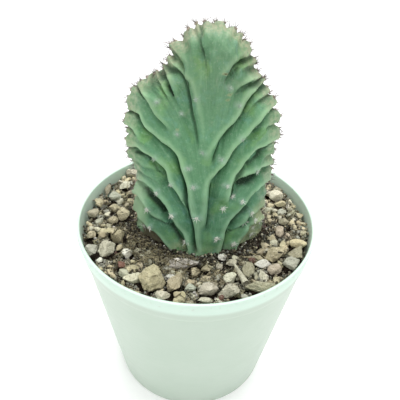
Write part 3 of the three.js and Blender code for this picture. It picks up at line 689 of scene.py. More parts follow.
def place_near(x, z, is_back):
    """The valley number and angle of the body's point nearest to a spot on one face."""
    numbers, angles = np.meshgrid(np.arange(0.5, LAST - 0.4, 0.1), np.arange(1, 90) / 90 * math.pi / 2)
    points = body_at(numbers, angles)
    best = np.hypot(points[..., 0] - x, points[..., 2] - z).argmin()
    return numbers.flat[best], math.pi - angles.flat[best] if is_back else angles.flat[best]


def ridge_near(x, z, is_back):
    """The spot on a ridge nearest to a given one."""
    xs, zs = np.meshgrid(np.arange(-3, 3.1, 0.5), np.arange(-1.5, 1.6, 0.5))
    shifts = np.stack([xs.ravel(), zs.ravel()], -1)
    cost = relief_on(FACES[is_back], shifts + (x, z))[0] + 0.12 * np.hypot(*shifts.T)
    return shifts[cost.argmin()] + (x, z)


def areole_places():
    """Every areole as valley number, angle, size, and whether it is on the growing edge."""
    places = []
    for x, z in FRONT_AREOLES:
        size = AREOLE_SIZE - SIZE_LOST_HIGH_UP * float(smooth_step(*HIGH_UP, z))
        places.append((*place_near(x, z, False), size, False))
    for x, z in FRONT_AREOLES[:BACK_AREOLE_COUNT]:
        x, z = ridge_near(2 * FOOT_CENTRE_X - x + BACK_AREOLE_SHIFT[0], z + BACK_AREOLE_SHIFT[1], True)
        places.append((*place_near(x, z, True), BACK_AREOLE_SIZE, False))
    random = np.random.default_rng(AREOLE_SEED)
    for low, high in zip([0.3, *NOTCHES], [*NOTCHES, LAST - 0.3]):
        start, end = edge_at(np.array([low, high]))[:2].T
        tip = 0.5 + 0.2 * float(lean_at((start[0] + end[0]) / 2))
        both = [tip, tip - math.copysign(0.45, tip - 0.5)]
        spots = both[:1] if norm(end - start) < ONE_AREOLE_LENGTH else both
        for i, spot in enumerate(spots):
            tilt = random.uniform(-0.05, 0.05)
            size = random.uniform(0.75, 1.15) * (1 if i == 0 else 0.7)
            places.append((between(spot, low, high), math.pi / 2 + tilt, size, True))
    return places


def spread_numbers(count):
    """Valley numbers of the columns, about even in length at the foot, half way up and on the edge."""
    s = np.linspace(0, LAST, LAST * 20 + 1)
    shares = np.zeros(len(s))
    for rise, weight in COLUMN_SPREAD:
        run = run_along(body_at(s, np.full(len(s), math.asin(rise))))
        shares += weight * run / run[-1]
    return np.interp(np.linspace(0, 1, count + 1), shares, s)


def strip(low, high):
    """Triangles between two rows of point numbers, of which one may have twice as many steps."""
    if len(low) == len(high):
        return grid_faces(np.stack([low, high]))
    if len(low) > len(high):
        return strip(high, low)[:, ::-1]
    a, b, c, d, e = low[:-1], low[1:], high[:-2:2], high[1:-1:2], high[2::2]
    fans = [np.stack(corners, -1) for corners in ((a, d, c), (a, b, d), (b, e, d))]
    return real_ones(np.concatenate(fans))


def crest_rows():
    """The angles of the rows, each with whether it has the finer columns of the growing edge."""
    turn, half = math.asin(FINE_FROM), math.pi / 2
    parts = [
        (np.linspace(0, turn, FRONT_ROWS[0], endpoint=False), False),
        (np.linspace(turn, half, FRONT_ROWS[1], endpoint=False), True),
        (np.linspace(half, math.pi - turn, BACK_ROWS[1]), True),
        (np.linspace(math.pi - turn, math.pi, BACK_ROWS[0] + 1)[1:], False),
    ]
    return [(angle, fine) for angles, fine in parts for angle in angles]


def make_crest(places):
    """The skin as one closed mesh, in rows up the front, over the edge, down the back and under ground."""
    numbers = [spread_numbers(COLUMNS), spread_numbers(2 * COLUMNS)]
    tubercles = [(body_at(np.array([s]), np.array([angle]))[0], size) for s, angle, size, _ in places]
    rows = [(numbers[fine], angle) for angle, fine in crest_rows()]
    s = np.concatenate([row for row, _ in rows])
    angles = np.concatenate([np.full(len(row), angle) for row, angle in rows])
    points, _, values = skin(s, angles, tubercles)
    values["flow"] = np.stack([s * 3, values["young"] * 40, 0 * s], -1)
    values["scar"] = np.max([bell(np.hypot((points[:, 0] - x) / half_x, (points[:, 2] - z) / half_z), 1)
                             for x, z, half_x, half_z in SCARS], axis=0) * (points[:, 1] < 0)
    width = len(numbers[0])
    order = np.r_[:width, :len(s), len(s) - width:len(s)]
    points, values = points[order], {key: value[order] for key, value in values.items()}
    points[np.r_[:width, -width:0], 2] = GROUND_Z - BURIED_DEPTH
    ids = np.split(np.arange(len(points)), np.cumsum([width, *[len(row) for row, _ in rows]]))
    for column in (0, -1):
        for row in ids[2:-1]:
            row[column] = ids[1][column]
        ids[-1][column] = ids[0][column]
    faces = np.concatenate([strip(a, b) for a, b in zip(ids, [*ids[1:], ids[0]])])
    used, faces = np.unique(faces, return_inverse=True)
    values = {key: value[used] for key, value in values.items()}
    return make_mesh("crest", points[used], faces.reshape(-1, 3), **values)


# Areoles and spines
def tapered_hair(root, direction, length, radius, bend, sides=4, rings=4):
    """A thin cone that bends towards one side, as points and triangles."""
    side = unit(np.cross(direction, (0.31, 0.57, 0.76)))
    around = circle(sides)[:, None]
    ring = np.cos(around) * side + np.sin(around) * np.cross(direction, side)
    steps = np.arange(rings) / rings
    points = [root + direction * length * t + bend * t * t + ring * radius * (1 - 0.8 * t) for t in steps]
    points = np.concatenate([*points, [root + direction * length + bend]])
    ids = np.append(np.arange(rings * sides), [rings * sides] * sides).reshape(rings + 1, sides)
    return points, grid_faces(ids, True)


def sideways(axes, around):
    """A direction along the skin, at an angle round a spot's own axes."""
    return axes[0] * math.cos(around) + axes[1] * math.sin(around)


def areole_tints(random, is_edge, z):
    """The colours of the wool and the spines: brown on the edge, pale low down and greener high up."""
    if is_edge:
        return EDGE_WOOL * random.uniform(0.6, 1.5), EDGE_HORN * random.uniform(0.6, 1.8)
    share = float(smooth_step(98, 135, z))
    return [between(share, *tints) * random.uniform(0.85, 1.1) for tints in (FACE_WOOL, FACE_HORN)]


def add_wool(random, felt, root, axes, size, scale, tint):
    """Short hairs that lean outwards from all over a felt cushion."""
    for _ in range(WOOL_COUNT):
        around = random.uniform(0, FULL_TURN)
        out = random.uniform(0.2, 1.0)
        spot = root + (axes[0] * math.cos(around) * 0.8 + axes[1] * math.sin(around)) * size * out * 0.8
        lift = unit(axes[2] + sideways(axes, around) * out * WOOL_LEAN)
        length = random.uniform(*WOOL_LENGTH) * scale
        hair = tapered_hair(spot, lift, length, WOOL_RADIUS, -axes[2] * 0.15 * length, sides=3, rings=2)
        felt.add(*hair, tint * random.uniform(0.8, 1.4))


def add_spines(random, spines, root, axes, is_edge, scale, tint):
    """Spines that spread over the skin, or stand out from the growing edge."""
    count = random.integers(*SPINE_COUNTS[is_edge])
    turn = random.uniform(0, FULL_TURN)
    for i in range(count):
        around = turn + (i + random.uniform(-0.4, 0.4)) / count * FULL_TURN
        tilt = random.uniform(*SPINE_TILTS[is_edge])
        length = random.uniform(*SPINE_LENGTHS[is_edge]) * (1 if is_edge else scale)
        outward = sideways(axes, around)
        direction = unit(axes[2] * math.cos(tilt) + outward * math.sin(tilt))
        bend = (outward * 0.1 - axes[2] * 0.08) * length * random.uniform(-0.5, 1)
        spines.add(*tapered_hair(root, direction, length, SPINE_RADII[is_edge], bend, sides=5), tint)


def make_areoles(places):
    """Felt cushions with short wool, and the spines that stand in them."""
    random = np.random.default_rng(HAIR_SEED)
    felt, spines = Joined(), Joined()
    cushion, cushion_faces = ball(2)
    for number, angle, scale, is_edge in places:
        (root, *_), (normal, *_), _ = skin(np.array([number]), np.array([angle]))
        root = root + normal * TUBERCLE_HEIGHT * 0.85 * scale
        side = unit(np.cross((0.12, 0.05, 1.0), normal))
        axes = np.stack([side, np.cross(normal, side), normal])
        size = FELT_RADIUS * random.uniform(0.8, 1.15) * scale
        shape = cushion * (size * random.uniform(0.7, 1.0), size, FELT_HEIGHT)
        shape = shape * (1 + 0.16 * ripple(cushion * 3, 2.2, random.integers(1e6)))[:, None]
        wool, horn = areole_tints(random, is_edge, root[2])
        felt.add(root + shape @ axes, cushion_faces, wool)
        add_wool(random, felt, root, axes, size * (1.25 if is_edge else 0.8), scale, wool)
        add_spines(random, spines, root, axes, is_edge, scale, horn)
    return felt.make("areole_felt"), spines.make("spines")


# Stones and grit
def stem_nearness(x, y):
    """1 on the outline of the stem's foot, less inside it and more outside."""
    q, p = np.abs(x - FOOT_CENTRE_X) / FOOT_HALF[0], np.abs(y) / FOOT_HALF[1]
    return (q ** FOOT_EXPONENT + p ** FOOT_EXPONENT) ** (1 / FOOT_EXPONENT)


def bed_level_at(x, y):
    return between(smooth_step(*BED_SLOPE, np.hypot(x, y)), *BED_LEVELS)


def mix_level_at(x, y):
    """The height of the loose mix between the stones, which is heaped round the stem."""
    points = np.stack([x, y, np.zeros_like(x)], -1)
    grain = 0.25 * ripple(points, 2.2, 51) + 0.35 * ripple(points, 6, 52)
    deep = MOUND_HEIGHT * smooth_step(*MOUND_REACH, stem_nearness(x, y))
    return bed_level_at(x, y) - MIX_DROP - deep + grain


class Bed:
    """The height of what has been laid so far, on a fine grid, for stones that come to rest on it."""

    def __init__(self):
        self.axis = np.arange(-BED_REACH, BED_REACH + BED_PITCH, BED_PITCH)
        self.x, self.y = np.meshgrid(self.axis, self.axis, indexing="ij")
        self.height = mix_level_at(self.x, self.y)

    def lay(self, x, y, half, cross, tall, turn, sink):
        """The height at which a stone comes to rest at a place, and the patch of the bed that it covers."""
        c, s = math.cos(turn), math.sin(turn)
        reach = max(half, cross)
        patch = tuple(slice(*np.searchsorted(self.axis, (at - reach, at + reach))) for at in (x, y))
        dx, dy = self.x[patch] - x, self.y[patch] - y
        u, w = (dx * c + dy * s) / half, (dy * c - dx * s) / cross
        inside = 1 - u * u - w * w
        cover, bulge = inside > 0, tall * np.sqrt(np.clip(inside, 0, None))
        rest = np.where(cover, self.height[patch] + bulge, -1e9).max() - sink * tall
        return rest, patch, cover, bulge

    def put(self, rest, patch, cover, bulge):
        self.height[patch] = np.maximum(self.height[patch], np.where(cover, rest + bulge, -1e9))


def random_spot(random):
    """The x and y of a random place on the bed, and its distance from the middle."""
    radius = BED_RADIUS * math.sqrt(random.random())
    around = random.uniform(0, FULL_TURN)
    return radius * math.cos(around), radius * math.sin(around), radius


def stone_shape(base, seed, half, cross, tall, angular):
    """A pumice lump: a ball with planed faces and dents, stretched to its size."""
    random = np.random.default_rng(seed)
    points = base * (1 + 0.12 * ripple(base, 1.8, seed))[:, None]
    for normal in unit(random.normal(size=(PLANE_COUNT, 3))):
        over = points @ normal - random.uniform(*PLANE_DEPTHS)
        points = points - angular * np.clip(over, 0, None)[:, None] * normal
    dents = 1 + 0.035 * ripple(base, 0.5, seed + 1) + 0.022 * ripple(base, 0.25, seed + 2)
    return points * dents[:, None] * (half, cross, tall) * PLANED_LOSS


def turned_by(points, turn, tip_x, tip_y):
    spin = Matrix.Rotation(turn, 3, "Z") @ Matrix.Rotation(tip_x, 3, "X") @ Matrix.Rotation(tip_y, 3, "Y")
    return points @ np.array(spin).T


def stone_tint(random, colour):
    bright = random.uniform(0.78, 1.15)
    return STONE_COLOURS[colour] * max(bright, colour == WHITE) * (1 + random.uniform(-0.025, 0.025, 3))


def add_stone(random, group, shape, place, sizes, turn, colour, angular):
    points = stone_shape(shape[0], int(random.integers(1e6)), *sizes, angular)
    points = turned_by(points, turn, *random.normal(0, STONE_TIP, 2))
    group.add(points + place, shape[1], stone_tint(random, colour))


def lay_placed_stones(random, bed, large):
    """The larger stones that show, each at its own place."""
    finest, fine = ball(4), ball(3)
    for x, y, half, cross, turn, colour in PLACED_STONES:
        tall = 0.5 * (half + cross) * random.uniform(*PLACED_TALL_SHARE)
        turn = math.radians(turn)
        rest = bed_level_at(x, y) + PLACED_LIFT + PLACED_LIFT_SHARE * tall
        _, *found = bed.lay(x, y, half, cross, tall, turn, 0)
        bed.put(rest, *found)
        shape = finest if half > FINEST_FROM else fine
        add_stone(random, large, shape, (x, y, rest), (half, cross, tall), turn, colour, 0.95)


def lay_stones():
    """Places the stones that show, and fills the bed between and under them by size."""
    random = np.random.default_rng(STONE_SEED)
    bed, large, small = Bed(), Joined(), Joined()
    lay_placed_stones(random, bed, large)
    for (size, tries), group, shape in zip(STONE_SIZES, (large, small, small), (ball(3), ball(2), ball(2))):
        for _ in range(tries):
            x, y, radius = random_spot(random)
            half = size * random.uniform(*HALF_SPREAD)
            cross = half * random.uniform(*CROSS_SHARE)
            tall = half * random.uniform(*TALL_SHARE)
            turn = random.uniform(0, math.pi)
            colour = random.choice(len(STONE_COLOURS), p=STONE_SHARES)
            is_near = stem_nearness(x, y) < STONE_CLEARANCE + half * CLEARANCE_GAIN
            if radius + half * 0.8 > BED_RADIUS or is_near:
                continue
            rest, *found = bed.lay(x, y, half * NESTING, cross * NESTING, tall, turn, STONE_SINK)
            if rest + tall > bed_level_at(x, y) + random.uniform(*STONE_STANDS_OUT):
                continue
            bed.put(rest, *found)
            add_stone(random, group, shape, (x, y, rest), (half, cross, tall), turn, colour, 0.92)
    return bed, large.make("stones_large"), small.make("stones_small")


def lay_grains(random, bed, grit):
    """Fine grit in the gaps and round the stem, where more of it is pale."""
    rounder, rough = ball(1), ball(0)
    count = 0
    while count < GRIT_COUNT:
        x, y, _ = random_spot(random)
        near = stem_nearness(x, y)
        if near < GRIT_FROM or (near > GRIT_DENSE_TO and random.random() < FAR_GRIT_LOSS):
            continue
        half = random.uniform(0.3, 0.75) if near < 1.4 else random.uniform(0.35, 0.8)
        tall = half * random.uniform(0.6, 0.9)
        reach = [max(size, LEAST_GRIT_REACH) for size in (half, half * GRIT_CROSS)]
        rest, *found = bed.lay(x, y, *reach, tall, 0, GRIT_SINK)
        if rest > bed_level_at(x, y) + 0.3:
            continue
        bed.put(rest, *found)
        base, faces = rounder if half > ROUNDER_GRIT_FROM else rough
        points = stone_shape(base, int(random.integers(1e6)), half, half * GRIT_CROSS, tall, 0.7)
        points = turned_by(points, random.uniform(0, math.pi), *random.normal(0, GRIT_TIP, 2))
        bright = random.uniform(*((0.65, 1.3) if random.random() < PALE_GRIT_SHARE else (0.1, 0.34)))
        tint = stone_tint(random, random.choice(len(STONE_COLOURS), p=GRIT_SHARES))
        grit.add(points + (x, y, rest), faces, tint * (bright if near < 1.5 else 0.5))
        count += 1


def lay_fibres(random, bed, grit):
    """A few splinters of bark, and thin root fibres on the side that shows most."""
    for i in range(FIBRE_COUNT):
        is_bark = i < BARK_COUNT
        around = random.uniform(0, FULL_TURN) if is_bark else random.normal(FIBRE_SIDE, FIBRE_SPREAD)
        nearness, least, halves, radii, sides_and_rings = BARK_SHAPE if is_bark else ROOT_SHAPE
        near = random.uniform(*nearness)
        x = FOOT_CENTRE_X + math.cos(around) * FOOT_HALF[0] * near * 0.85
        y = math.sin(around) * FOOT_HALF[1] * near * 1.15
        if math.hypot(x, y) > BED_RADIUS - 4 or stem_nearness(x, y) < least:
            continue
        half = random.uniform(*halves)
        turn = random.uniform(0, math.pi)
        rest = bed.lay(x, y, half * 0.6, 0.7, 0.25, turn, 0)[0]
        direction = np.array((math.cos(turn), math.sin(turn), random.normal(0, 0.1)))
        start = np.array((x, y, rest + 0.1)) - direction * half
        bend = np.array((0, 0, 0.2)) * half * random.uniform(-0.5, 0.5)
        hair = tapered_hair(start, direction, 2 * half, random.uniform(*radii), bend, *sides_and_rings)
        grit.add(*hair, STONE_COLOURS[BARK] * random.uniform(0.5, 1.9) ** 2)


def lay_grit(bed):
    """Fine grit, fibres and one pale splinter of wood."""
    random = np.random.default_rng(GRIT_SEED)
    grit = Joined()
    lay_grains(random, bed, grit)
    lay_fibres(random, bed, grit)
    along = TWIG_TIP - TWIG_ROOT
    twig = tapered_hair(TWIG_ROOT, unit(along), np.linalg.norm(along), TWIG_RADIUS, TWIG_BEND, 8, 8)
    grit.add(*twig, STONE_COLOURS[CREAM] * 0.85)
    return grit.make("grit", smooth=False)


def make_bed_soil():
    """The dark soil surface that shows between the stones, with a wall down into the mix."""
    radius = np.linspace(0.5, BED_RADIUS, BED_RINGS)[:, None]
    points = rings(radius, 0 * radius, BED_SPOKES)
    crumbs = 0.16 * ripple(points, 0.9, 53) + 0.12 * ripple(points, 1.3, 54)
    points[..., 2] = mix_level_at(points[..., 0], points[..., 1]) + crumbs
    skirt = points[-1:] * ((wall_radius_at(MIX_TOP) - WALL - 0.3) / BED_RADIUS)
    skirt[..., 2] = MIX_TOP
    points = np.concatenate([points, skirt])
    hub = points[..., 0].size
    ids = np.append([hub] * BED_SPOKES, np.arange(hub)).reshape(-1, BED_SPOKES)
    middle = [[0, 0, GROUND_Z - BURIED_DEPTH]]
    return make_mesh("bed_soil", np.concatenate([points.reshape(-1, 3), middle]), grid_faces(ids, True))


# Pot
def wall_radius_at(z):
    return between(z / BAND_BOTTOM, FOOT_RADIUS, WALL_TOP_RADIUS)


def rounded(corner, start, end, radius, steps=5):
    """An arc of points that rounds a corner between two directions."""
    a, b = (corner + unit(other - corner) * radius for other in (start, end))
    t = np.linspace(0, 1, steps)[:, None]
    return (1 - t) ** 2 * a + 2 * t * (1 - t) * corner + t * t * b


def pot_profile():
    """The wall's outline from the middle of the floor underneath, up the outside and down the inside."""
    floor_top = FOOT_RECESS + FLOOR_THICKNESS
    band_low, inner_top = wall_radius_at(BAND_BOTTOM) + BAND_STEP, RIM_RADIUS - WALL
    undercut, rise = BAND_SLOPES
    taper, drop = LIP_TAPER
    # Each corner's radius and height, and how far it is rounded
    corners = np.array([
        (DRAIN_CIRCLE_RADIUS, FOOT_RECESS, 0),
        (FOOT_RING_INNER - FOOT_RECESS, FOOT_RECESS, 0.5),
        (FOOT_RING_INNER, 0, 0.35),
        (FOOT_RADIUS, 0, 0.8),
        (wall_radius_at(BAND_BOTTOM - undercut), BAND_BOTTOM - undercut, 0.5),
        (band_low, BAND_BOTTOM + rise, 0.6),
        (RIM_RADIUS - taper, POT_HEIGHT - drop, 0.3),
        (RIM_RADIUS, POT_HEIGHT, LIP_ROUNDING),
        (inner_top, POT_HEIGHT, LIP_ROUNDING),
        (inner_top - 0.25, POT_HEIGHT - 2.4, 0.4),
        (band_low - WALL, BAND_BOTTOM + BAND_STEP + 1, 0.5),
        (wall_radius_at(BAND_BOTTOM) - WALL, BAND_BOTTOM, 0.5),
        (wall_radius_at(floor_top) - WALL, floor_top, 1.5),
        (DRAIN_CIRCLE_RADIUS, floor_top, 0),
    ])
    spots = corners[:, :2]
    arcs = [rounded(*spots[[i, i - 1, i + 1]], corners[i, 2]) for i in range(1, len(corners) - 1)]
    return np.concatenate(arcs)


def make_pot():
    """The turned wall, and a floor with its ring of drain holes."""
    profile = pot_profile()
    outline = [profile[:1]]
    for start, end in zip(profile[:-1], profile[1:]):
        count = max(1, math.ceil(np.linalg.norm(end - start) / POT_STEP))
        outline.append(np.linspace(start, end, count + 1)[1:])
    radius, z = np.concatenate(outline).T[..., None]
    points = rings(radius, z, POT_SEGMENTS)
    ids = np.arange(points[..., 0].size).reshape(-1, POT_SEGMENTS)
    floor_points, floor_faces = make_floor(points, ids)
    points = np.concatenate([points.reshape(-1, 3), floor_points])
    return make_mesh("pot_shell", points, np.concatenate([grid_faces(ids, True), floor_faces]))


def make_floor(wall, ids):
    """New points and all triangles of both sides of the pot's floor, with the walls of the drain holes."""
    hole = ring(DRAIN_HOLE_RADIUS, DRAIN_HOLE_SIDES)
    centres = ring(DRAIN_CIRCLE_RADIUS, DRAIN_HOLE_COUNT, 0.5)
    loops = np.split(np.arange(POT_SEGMENTS + DRAIN_HOLE_COUNT * DRAIN_HOLE_SIDES),
                     POT_SEGMENTS + DRAIN_HOLE_SIDES * np.arange(DRAIN_HOLE_COUNT))
    edges = [(int(a), int(b)) for loop in loops for a, b in zip(loop, np.roll(loop, -1))]
    flat = np.concatenate([wall[0, :, :2], *[centre + hole for centre in centres]])
    plan, _, triangles, *_ = delaunay_2d_cdt(flat.tolist(), edges, [], 0, 1e-5)
    plan, triangles = np.array(plan), np.array(triangles)
    apart = norm(plan[triangles].mean(1)[:, None] - centres).min(1)
    triangles = triangles[apart >= DRAIN_HOLE_RADIUS * DRAIN_HOLE_OPEN_SHARE]
    inner = plan[POT_SEGMENTS:]
    fresh = ids.size + np.arange(2 * len(inner)).reshape(2, -1)
    low, high = np.concatenate([ids[[0, -1]], fresh], 1)
    sides = [grid_faces(np.stack([low[loop], high[loop]]), True)[:, ::-1] for loop in loops[1:]]
    faces = np.concatenate([low[triangles][:, ::-1], high[triangles], *sides])
    return np.concatenate([np.insert(inner, 2, z, axis=1) for z in wall[[0, -1], 0, 2]]), faces


# Materials
def add_node(tree, kind, output, inputs, **settings):
    """Adds a shader node with its inputs and settings, and gives one of its outputs."""
    node = tree.nodes.new("ShaderNode" + kind)
    for key, value in settings.items():
        setattr(node, key, value)
    for key, value in inputs.items():
        if isinstance(value, Value):
            tree.links.new(value.socket, node.inputs[key])
        else:
            node.inputs[key].default_value = (*value, 1) if node.inputs[key].type == "RGBA" else value
    return Value(tree, node.outputs[output])


class Value:
    """An output of a shader node, with short calls that lead it through one more node."""

    def __init__(self, tree, socket):
        self.tree, self.socket = tree, socket

    def span(self, low, high, to_low=0.0, to_high=1.0):
        """Maps the value from one range to another, held within it."""
        inputs = dict(enumerate((self, low, high, to_low, to_high)))
        return add_node(self.tree, "MapRange", "Result", inputs, interpolation_type="SMOOTHSTEP")

    def mix(self, low, high, blend_type="MIX"):
        """Goes from one colour to another as the value goes from 0 to 1."""
        inputs = {0: self, 6: low, 7: high}
        return add_node(self.tree, "Mix", 2, inputs, data_type="RGBA", blend_type=blend_type)

    def math(self, operation, other):
        return add_node(self.tree, "Math", 0, {0: self, 1: other}, operation=operation)

    def __add__(self, other):
        return self.math("ADD", other)

    def __sub__(self, other):
        return self.math("SUBTRACT", other)

    def __mul__(self, other):
        return self.math("MULTIPLY", other)

    def larger(self, other):
        return self.math("MAXIMUM", other)

    def noise(self, size, detail=3.0, roughness=0.55, distortion=0.0):
        """Noise from 0 to 1 at this place, with grains of about that size in millimetres."""
        inputs = {"Vector": self, "Scale": 1 / size, "Detail": detail, "Roughness": roughness,
                  "Distortion": distortion}
        return add_node(self.tree, "TexNoise", "Fac", inputs)

    def cells(self, size):
        """The distance from this place to the nearest of many strewn spots."""
        return add_node(self.tree, "TexVoronoi", "Distance", {"Vector": self, "Scale": 1 / size})

    def stretch(self, *scale):
        return add_node(self.tree, "VectorMath", 0, {0: self, 1: scale}, operation="MULTIPLY")

    def reach(self):
        """The distance of this place from the upright axis."""
        return add_node(self.tree, "VectorMath", "Value", {0: self.stretch(1, 1, 0)}, operation="LENGTH")

    def x_and_z(self):
        return [add_node(self.tree, "SeparateXYZ", axis, {0: self}) for axis in "XZ"]


class Paint:
    """A material with one Principled shader, whose colour and relief are laid on coat by coat."""

    def __init__(self, name, roughness, **settings):
        self.material = bpy.data.materials.new(name)
        self.material.use_nodes = True
        self.tree = self.material.node_tree
        self.shader = next(node for node in self.tree.nodes if node.type == "BSDF_PRINCIPLED")
        for key, value in {"Roughness": roughness, **settings}.items():
            self.shader.inputs[key.replace("_", " ")].default_value = value
        self.place = add_node(self.tree, "TexCoord", "Object", {}).stretch(*[1 / MM] * 3)
        self.colour = self.relief = None

    def attribute(self, name, output="Fac"):
        return add_node(self.tree, "Attribute", output, {}, attribute_name=name)

    def coat(self, share, colour, blend_type="MIX"):
        """Lays a colour over the earlier ones, by a share from 0 to 1."""
        self.colour = share.mix(self.colour, colour, blend_type)

    def emboss(self, height, depth):
        """Adds relief of about that depth in millimetres to the earlier relief."""
        inputs = {"Strength": 1.0, "Distance": depth * MM, "Height": height}
        if self.relief:
            inputs["Normal"] = self.relief
        self.relief = add_node(self.tree, "Bump", "Normal", inputs)

    def done(self, roughness=None):
        """Joins what has been laid on to the shader, and gives the material."""
        for key, value in (("Base Color", self.colour), ("Roughness", roughness), ("Normal", self.relief)):
            if value:
                self.tree.links.new(value.socket, self.shader.inputs[key])
        return self.material


class SkinPaint(Paint):
    """Waxy blue-green skin with painted highlight on the lips, painted shade in the valleys, young
    yellow-green edge, cork and healed marks.
    """

    def __init__(self):
        super().__init__("crest_skin", 0.6, Specular_IOR_Level=0.25, Subsurface_Weight=0.06,
                         Subsurface_Scale=0.001, Subsurface_Radius=(0.6, 1.0, 0.4))
        self.x, self.z = self.place.x_and_z()
        flow = self.attribute("flow", "Vector")
        self.valley, self.young, self.lobe = (self.attribute(name) for name in ("valley", "young", "lobe"))
        self.streaks = flow.stretch(1, 0.16, 1).noise(2.2, 5, 0.6)
        self.veins = flow.stretch(1, 0.12, 1).noise(0.8, 4, 0.65)
        self.patches = self.place.noise(9, 3, 0.5, 0.4)
        self.bloom = self.place.noise(5.5, 4, 0.6, 0.8)
        self.mottle = self.place.noise(1.7, 4, 0.65)
        self.fine = self.place.noise(0.7, 4, 0.6)

    def flesh(self):
        """Streaks and veins along the ribs, with bluish, yellowish and pinkish clouds."""
        self.colour = self.streaks.span(0.32, 0.68).mix((0.068, 0.200, 0.092), (0.113, 0.275, 0.137))
        blush = self.place.stretch(1, 1, 0.7).noise(4.2, 4, 0.6, 0.5)
        self.coat(self.bloom.span(0.5, 0.7, 0, 0.7), (0.125, 0.30, 0.215))
        self.coat(self.patches.span(0.52, 0.7, 0, 0.7), (0.155, 0.325, 0.10))
        self.coat(blush.span(0.58, 0.76, 0, 0.45), (0.25, 0.34, 0.23))
        self.coat(self.mottle.span(0.36, 0.5, 0.35, 0), (0.06, 0.17, 0.075))
        self.coat(self.mottle.span(0.53, 0.7, 0, 0.35), (0.23, 0.41, 0.25))
        self.coat(self.veins.span(0.3, 0.47, 0.4, 0), (0.07, 0.19, 0.085))
        self.coat(self.veins.span(0.54, 0.7, 0, 0.4), (0.22, 0.40, 0.25))

    def ribs(self):
        """Painted highlight on ridges and lips, pale areole rims and growing edge, painted shade in
        valleys, grooves and creases.
        """
        # Painted highlight: paler where the skin is cut least, on the ridges
        self.coat(self.valley.span(0.1, 1.1, 0.3, 0), (0.17, 0.36, 0.19))
        # Painted highlight along the lips of the ribs
        self.coat(self.attribute("lip").span(0.2, 0.98, 0, 0.8), (0.29, 0.50, 0.28))
        halo = self.attribute("halo").span(0.1, 0.9, 0, 0.55)
        self.coat(halo * self.fine.span(0.3, 0.6, 0.4, 1), (0.36, 0.49, 0.39))
        # Painted shade in the valleys, darker the deeper they are cut
        self.coat(self.valley.span(0.6, 4.0, 0, 0.55), (0.024, 0.105, 0.038))
        self.coat(self.valley.span(3.4, 5.8, 0, 0.92), (0.006, 0.024, 0.009))
        edge = self.young.span(0.84, 0.985) * self.valley.span(0.3, 1.6, 1, 0.2)
        self.coat(edge * self.mottle.span(0.34, 0.64, 0.15, 0.7), (0.40, 0.45, 0.29))
        # Painted shadow under the overhanging lips, along the grooves
        self.coat(self.attribute("groove_shadow").span(0.2, 0.95, 0, 0.78), (0.015, 0.055, 0.02))
        # Painted shade in the creases under the lips
        self.coat(self.attribute("shade").span(0.15, 0.8, 0, 0.97), (0.008, 0.032, 0.012))

    def specks(self):
        """Brown freckles on the edge, pale specks and pores, and slow changes with height and side."""
        self.coat(self.young.span(0.965, 1.0) * self.fine.span(0.5, 0.66, 0, 0.5), (0.19, 0.15, 0.08))
        self.coat(self.fine.span(0.56, 0.76, 0, 0.3), (0.42, 0.53, 0.41))
        self.coat(self.place.cells(1.1).span(0.0, 0.16, 0.35, 0.0), (0.26, 0.36, 0.2))
        self.coat(self.z.span(135, 165), (1.0, 0.86, 0.9), "MULTIPLY")
        self.coat(self.z.span(100, 128, 1, 0), (0.97, 1.0, 1.1), "MULTIPLY")
        self.coat(self.lobe.span(2.6, 3.6, 1, 0) * self.x.span(-24.5, -19, 0.75, 0), (0.34, 0.51, 0.31))

    def cork(self):
        """Tan cork at the foot and low on the right, and a dark brown patch low on the left."""
        sides = self.x.span(-5, -2, 1, 0.25).larger(self.x.span(17, 20))
        foot = self.z.span(83.0, 88.5, 1, 0) * self.place.noise(3.2, 5, 0.65).span(0.34, 0.54)
        foot = foot * (sides * self.lobe.span(1.6, 3.0, 0.1, 1))
        right = (self.x - self.z * 0.56).span(-27.8, -26.6)
        right = right.larger(self.x.span(22.3, 25, 0, 0.6) * self.z.span(99, 104, 1, 0))
        tan = foot.larger(right * self.patches.span(0.3, 0.6, 0.35, 0.75))
        self.coat(tan, self.place.noise(1.0, 5, 0.7).mix((0.27, 0.33, 0.15), (0.56, 0.62, 0.40)))
        left = (self.z + self.x * 0.684).span(73.2, 74.4, 0.9, 0) * self.x.span(-24.5, -22.5)
        self.coat(left, self.place.noise(0.8, 5, 0.7).mix((0.04, 0.032, 0.018), (0.25, 0.21, 0.13)))
        return tan.larger(left)

    def marks(self):
        """Healed marks with a pale rim."""
        scar = self.attribute("scar")
        self.coat(scar.span(0.02, 0.4, 0, 0.45), (0.36, 0.37, 0.19))
        self.coat(scar.span(0.45, 0.85, 0, 0.85), (0.06, 0.055, 0.02))


def skin_material():
    paint = SkinPaint()
    paint.flesh()
    paint.ribs()
    paint.specks()
    cork = paint.cork()
    paint.marks()
    paint.emboss(paint.streaks, 0.22)
    paint.emboss(paint.veins, 0.12)
    paint.emboss(paint.fine, 0.06)
    paint.emboss(paint.place.cells(0.8).span(0.0, 0.35), 0.03)
    paint.emboss(cork * paint.place.noise(0.9, 6, 0.7), 0.7)
    return paint.done(paint.bloom.span(0.3, 0.8, 0.5, 0.72) + cork * 0.25)


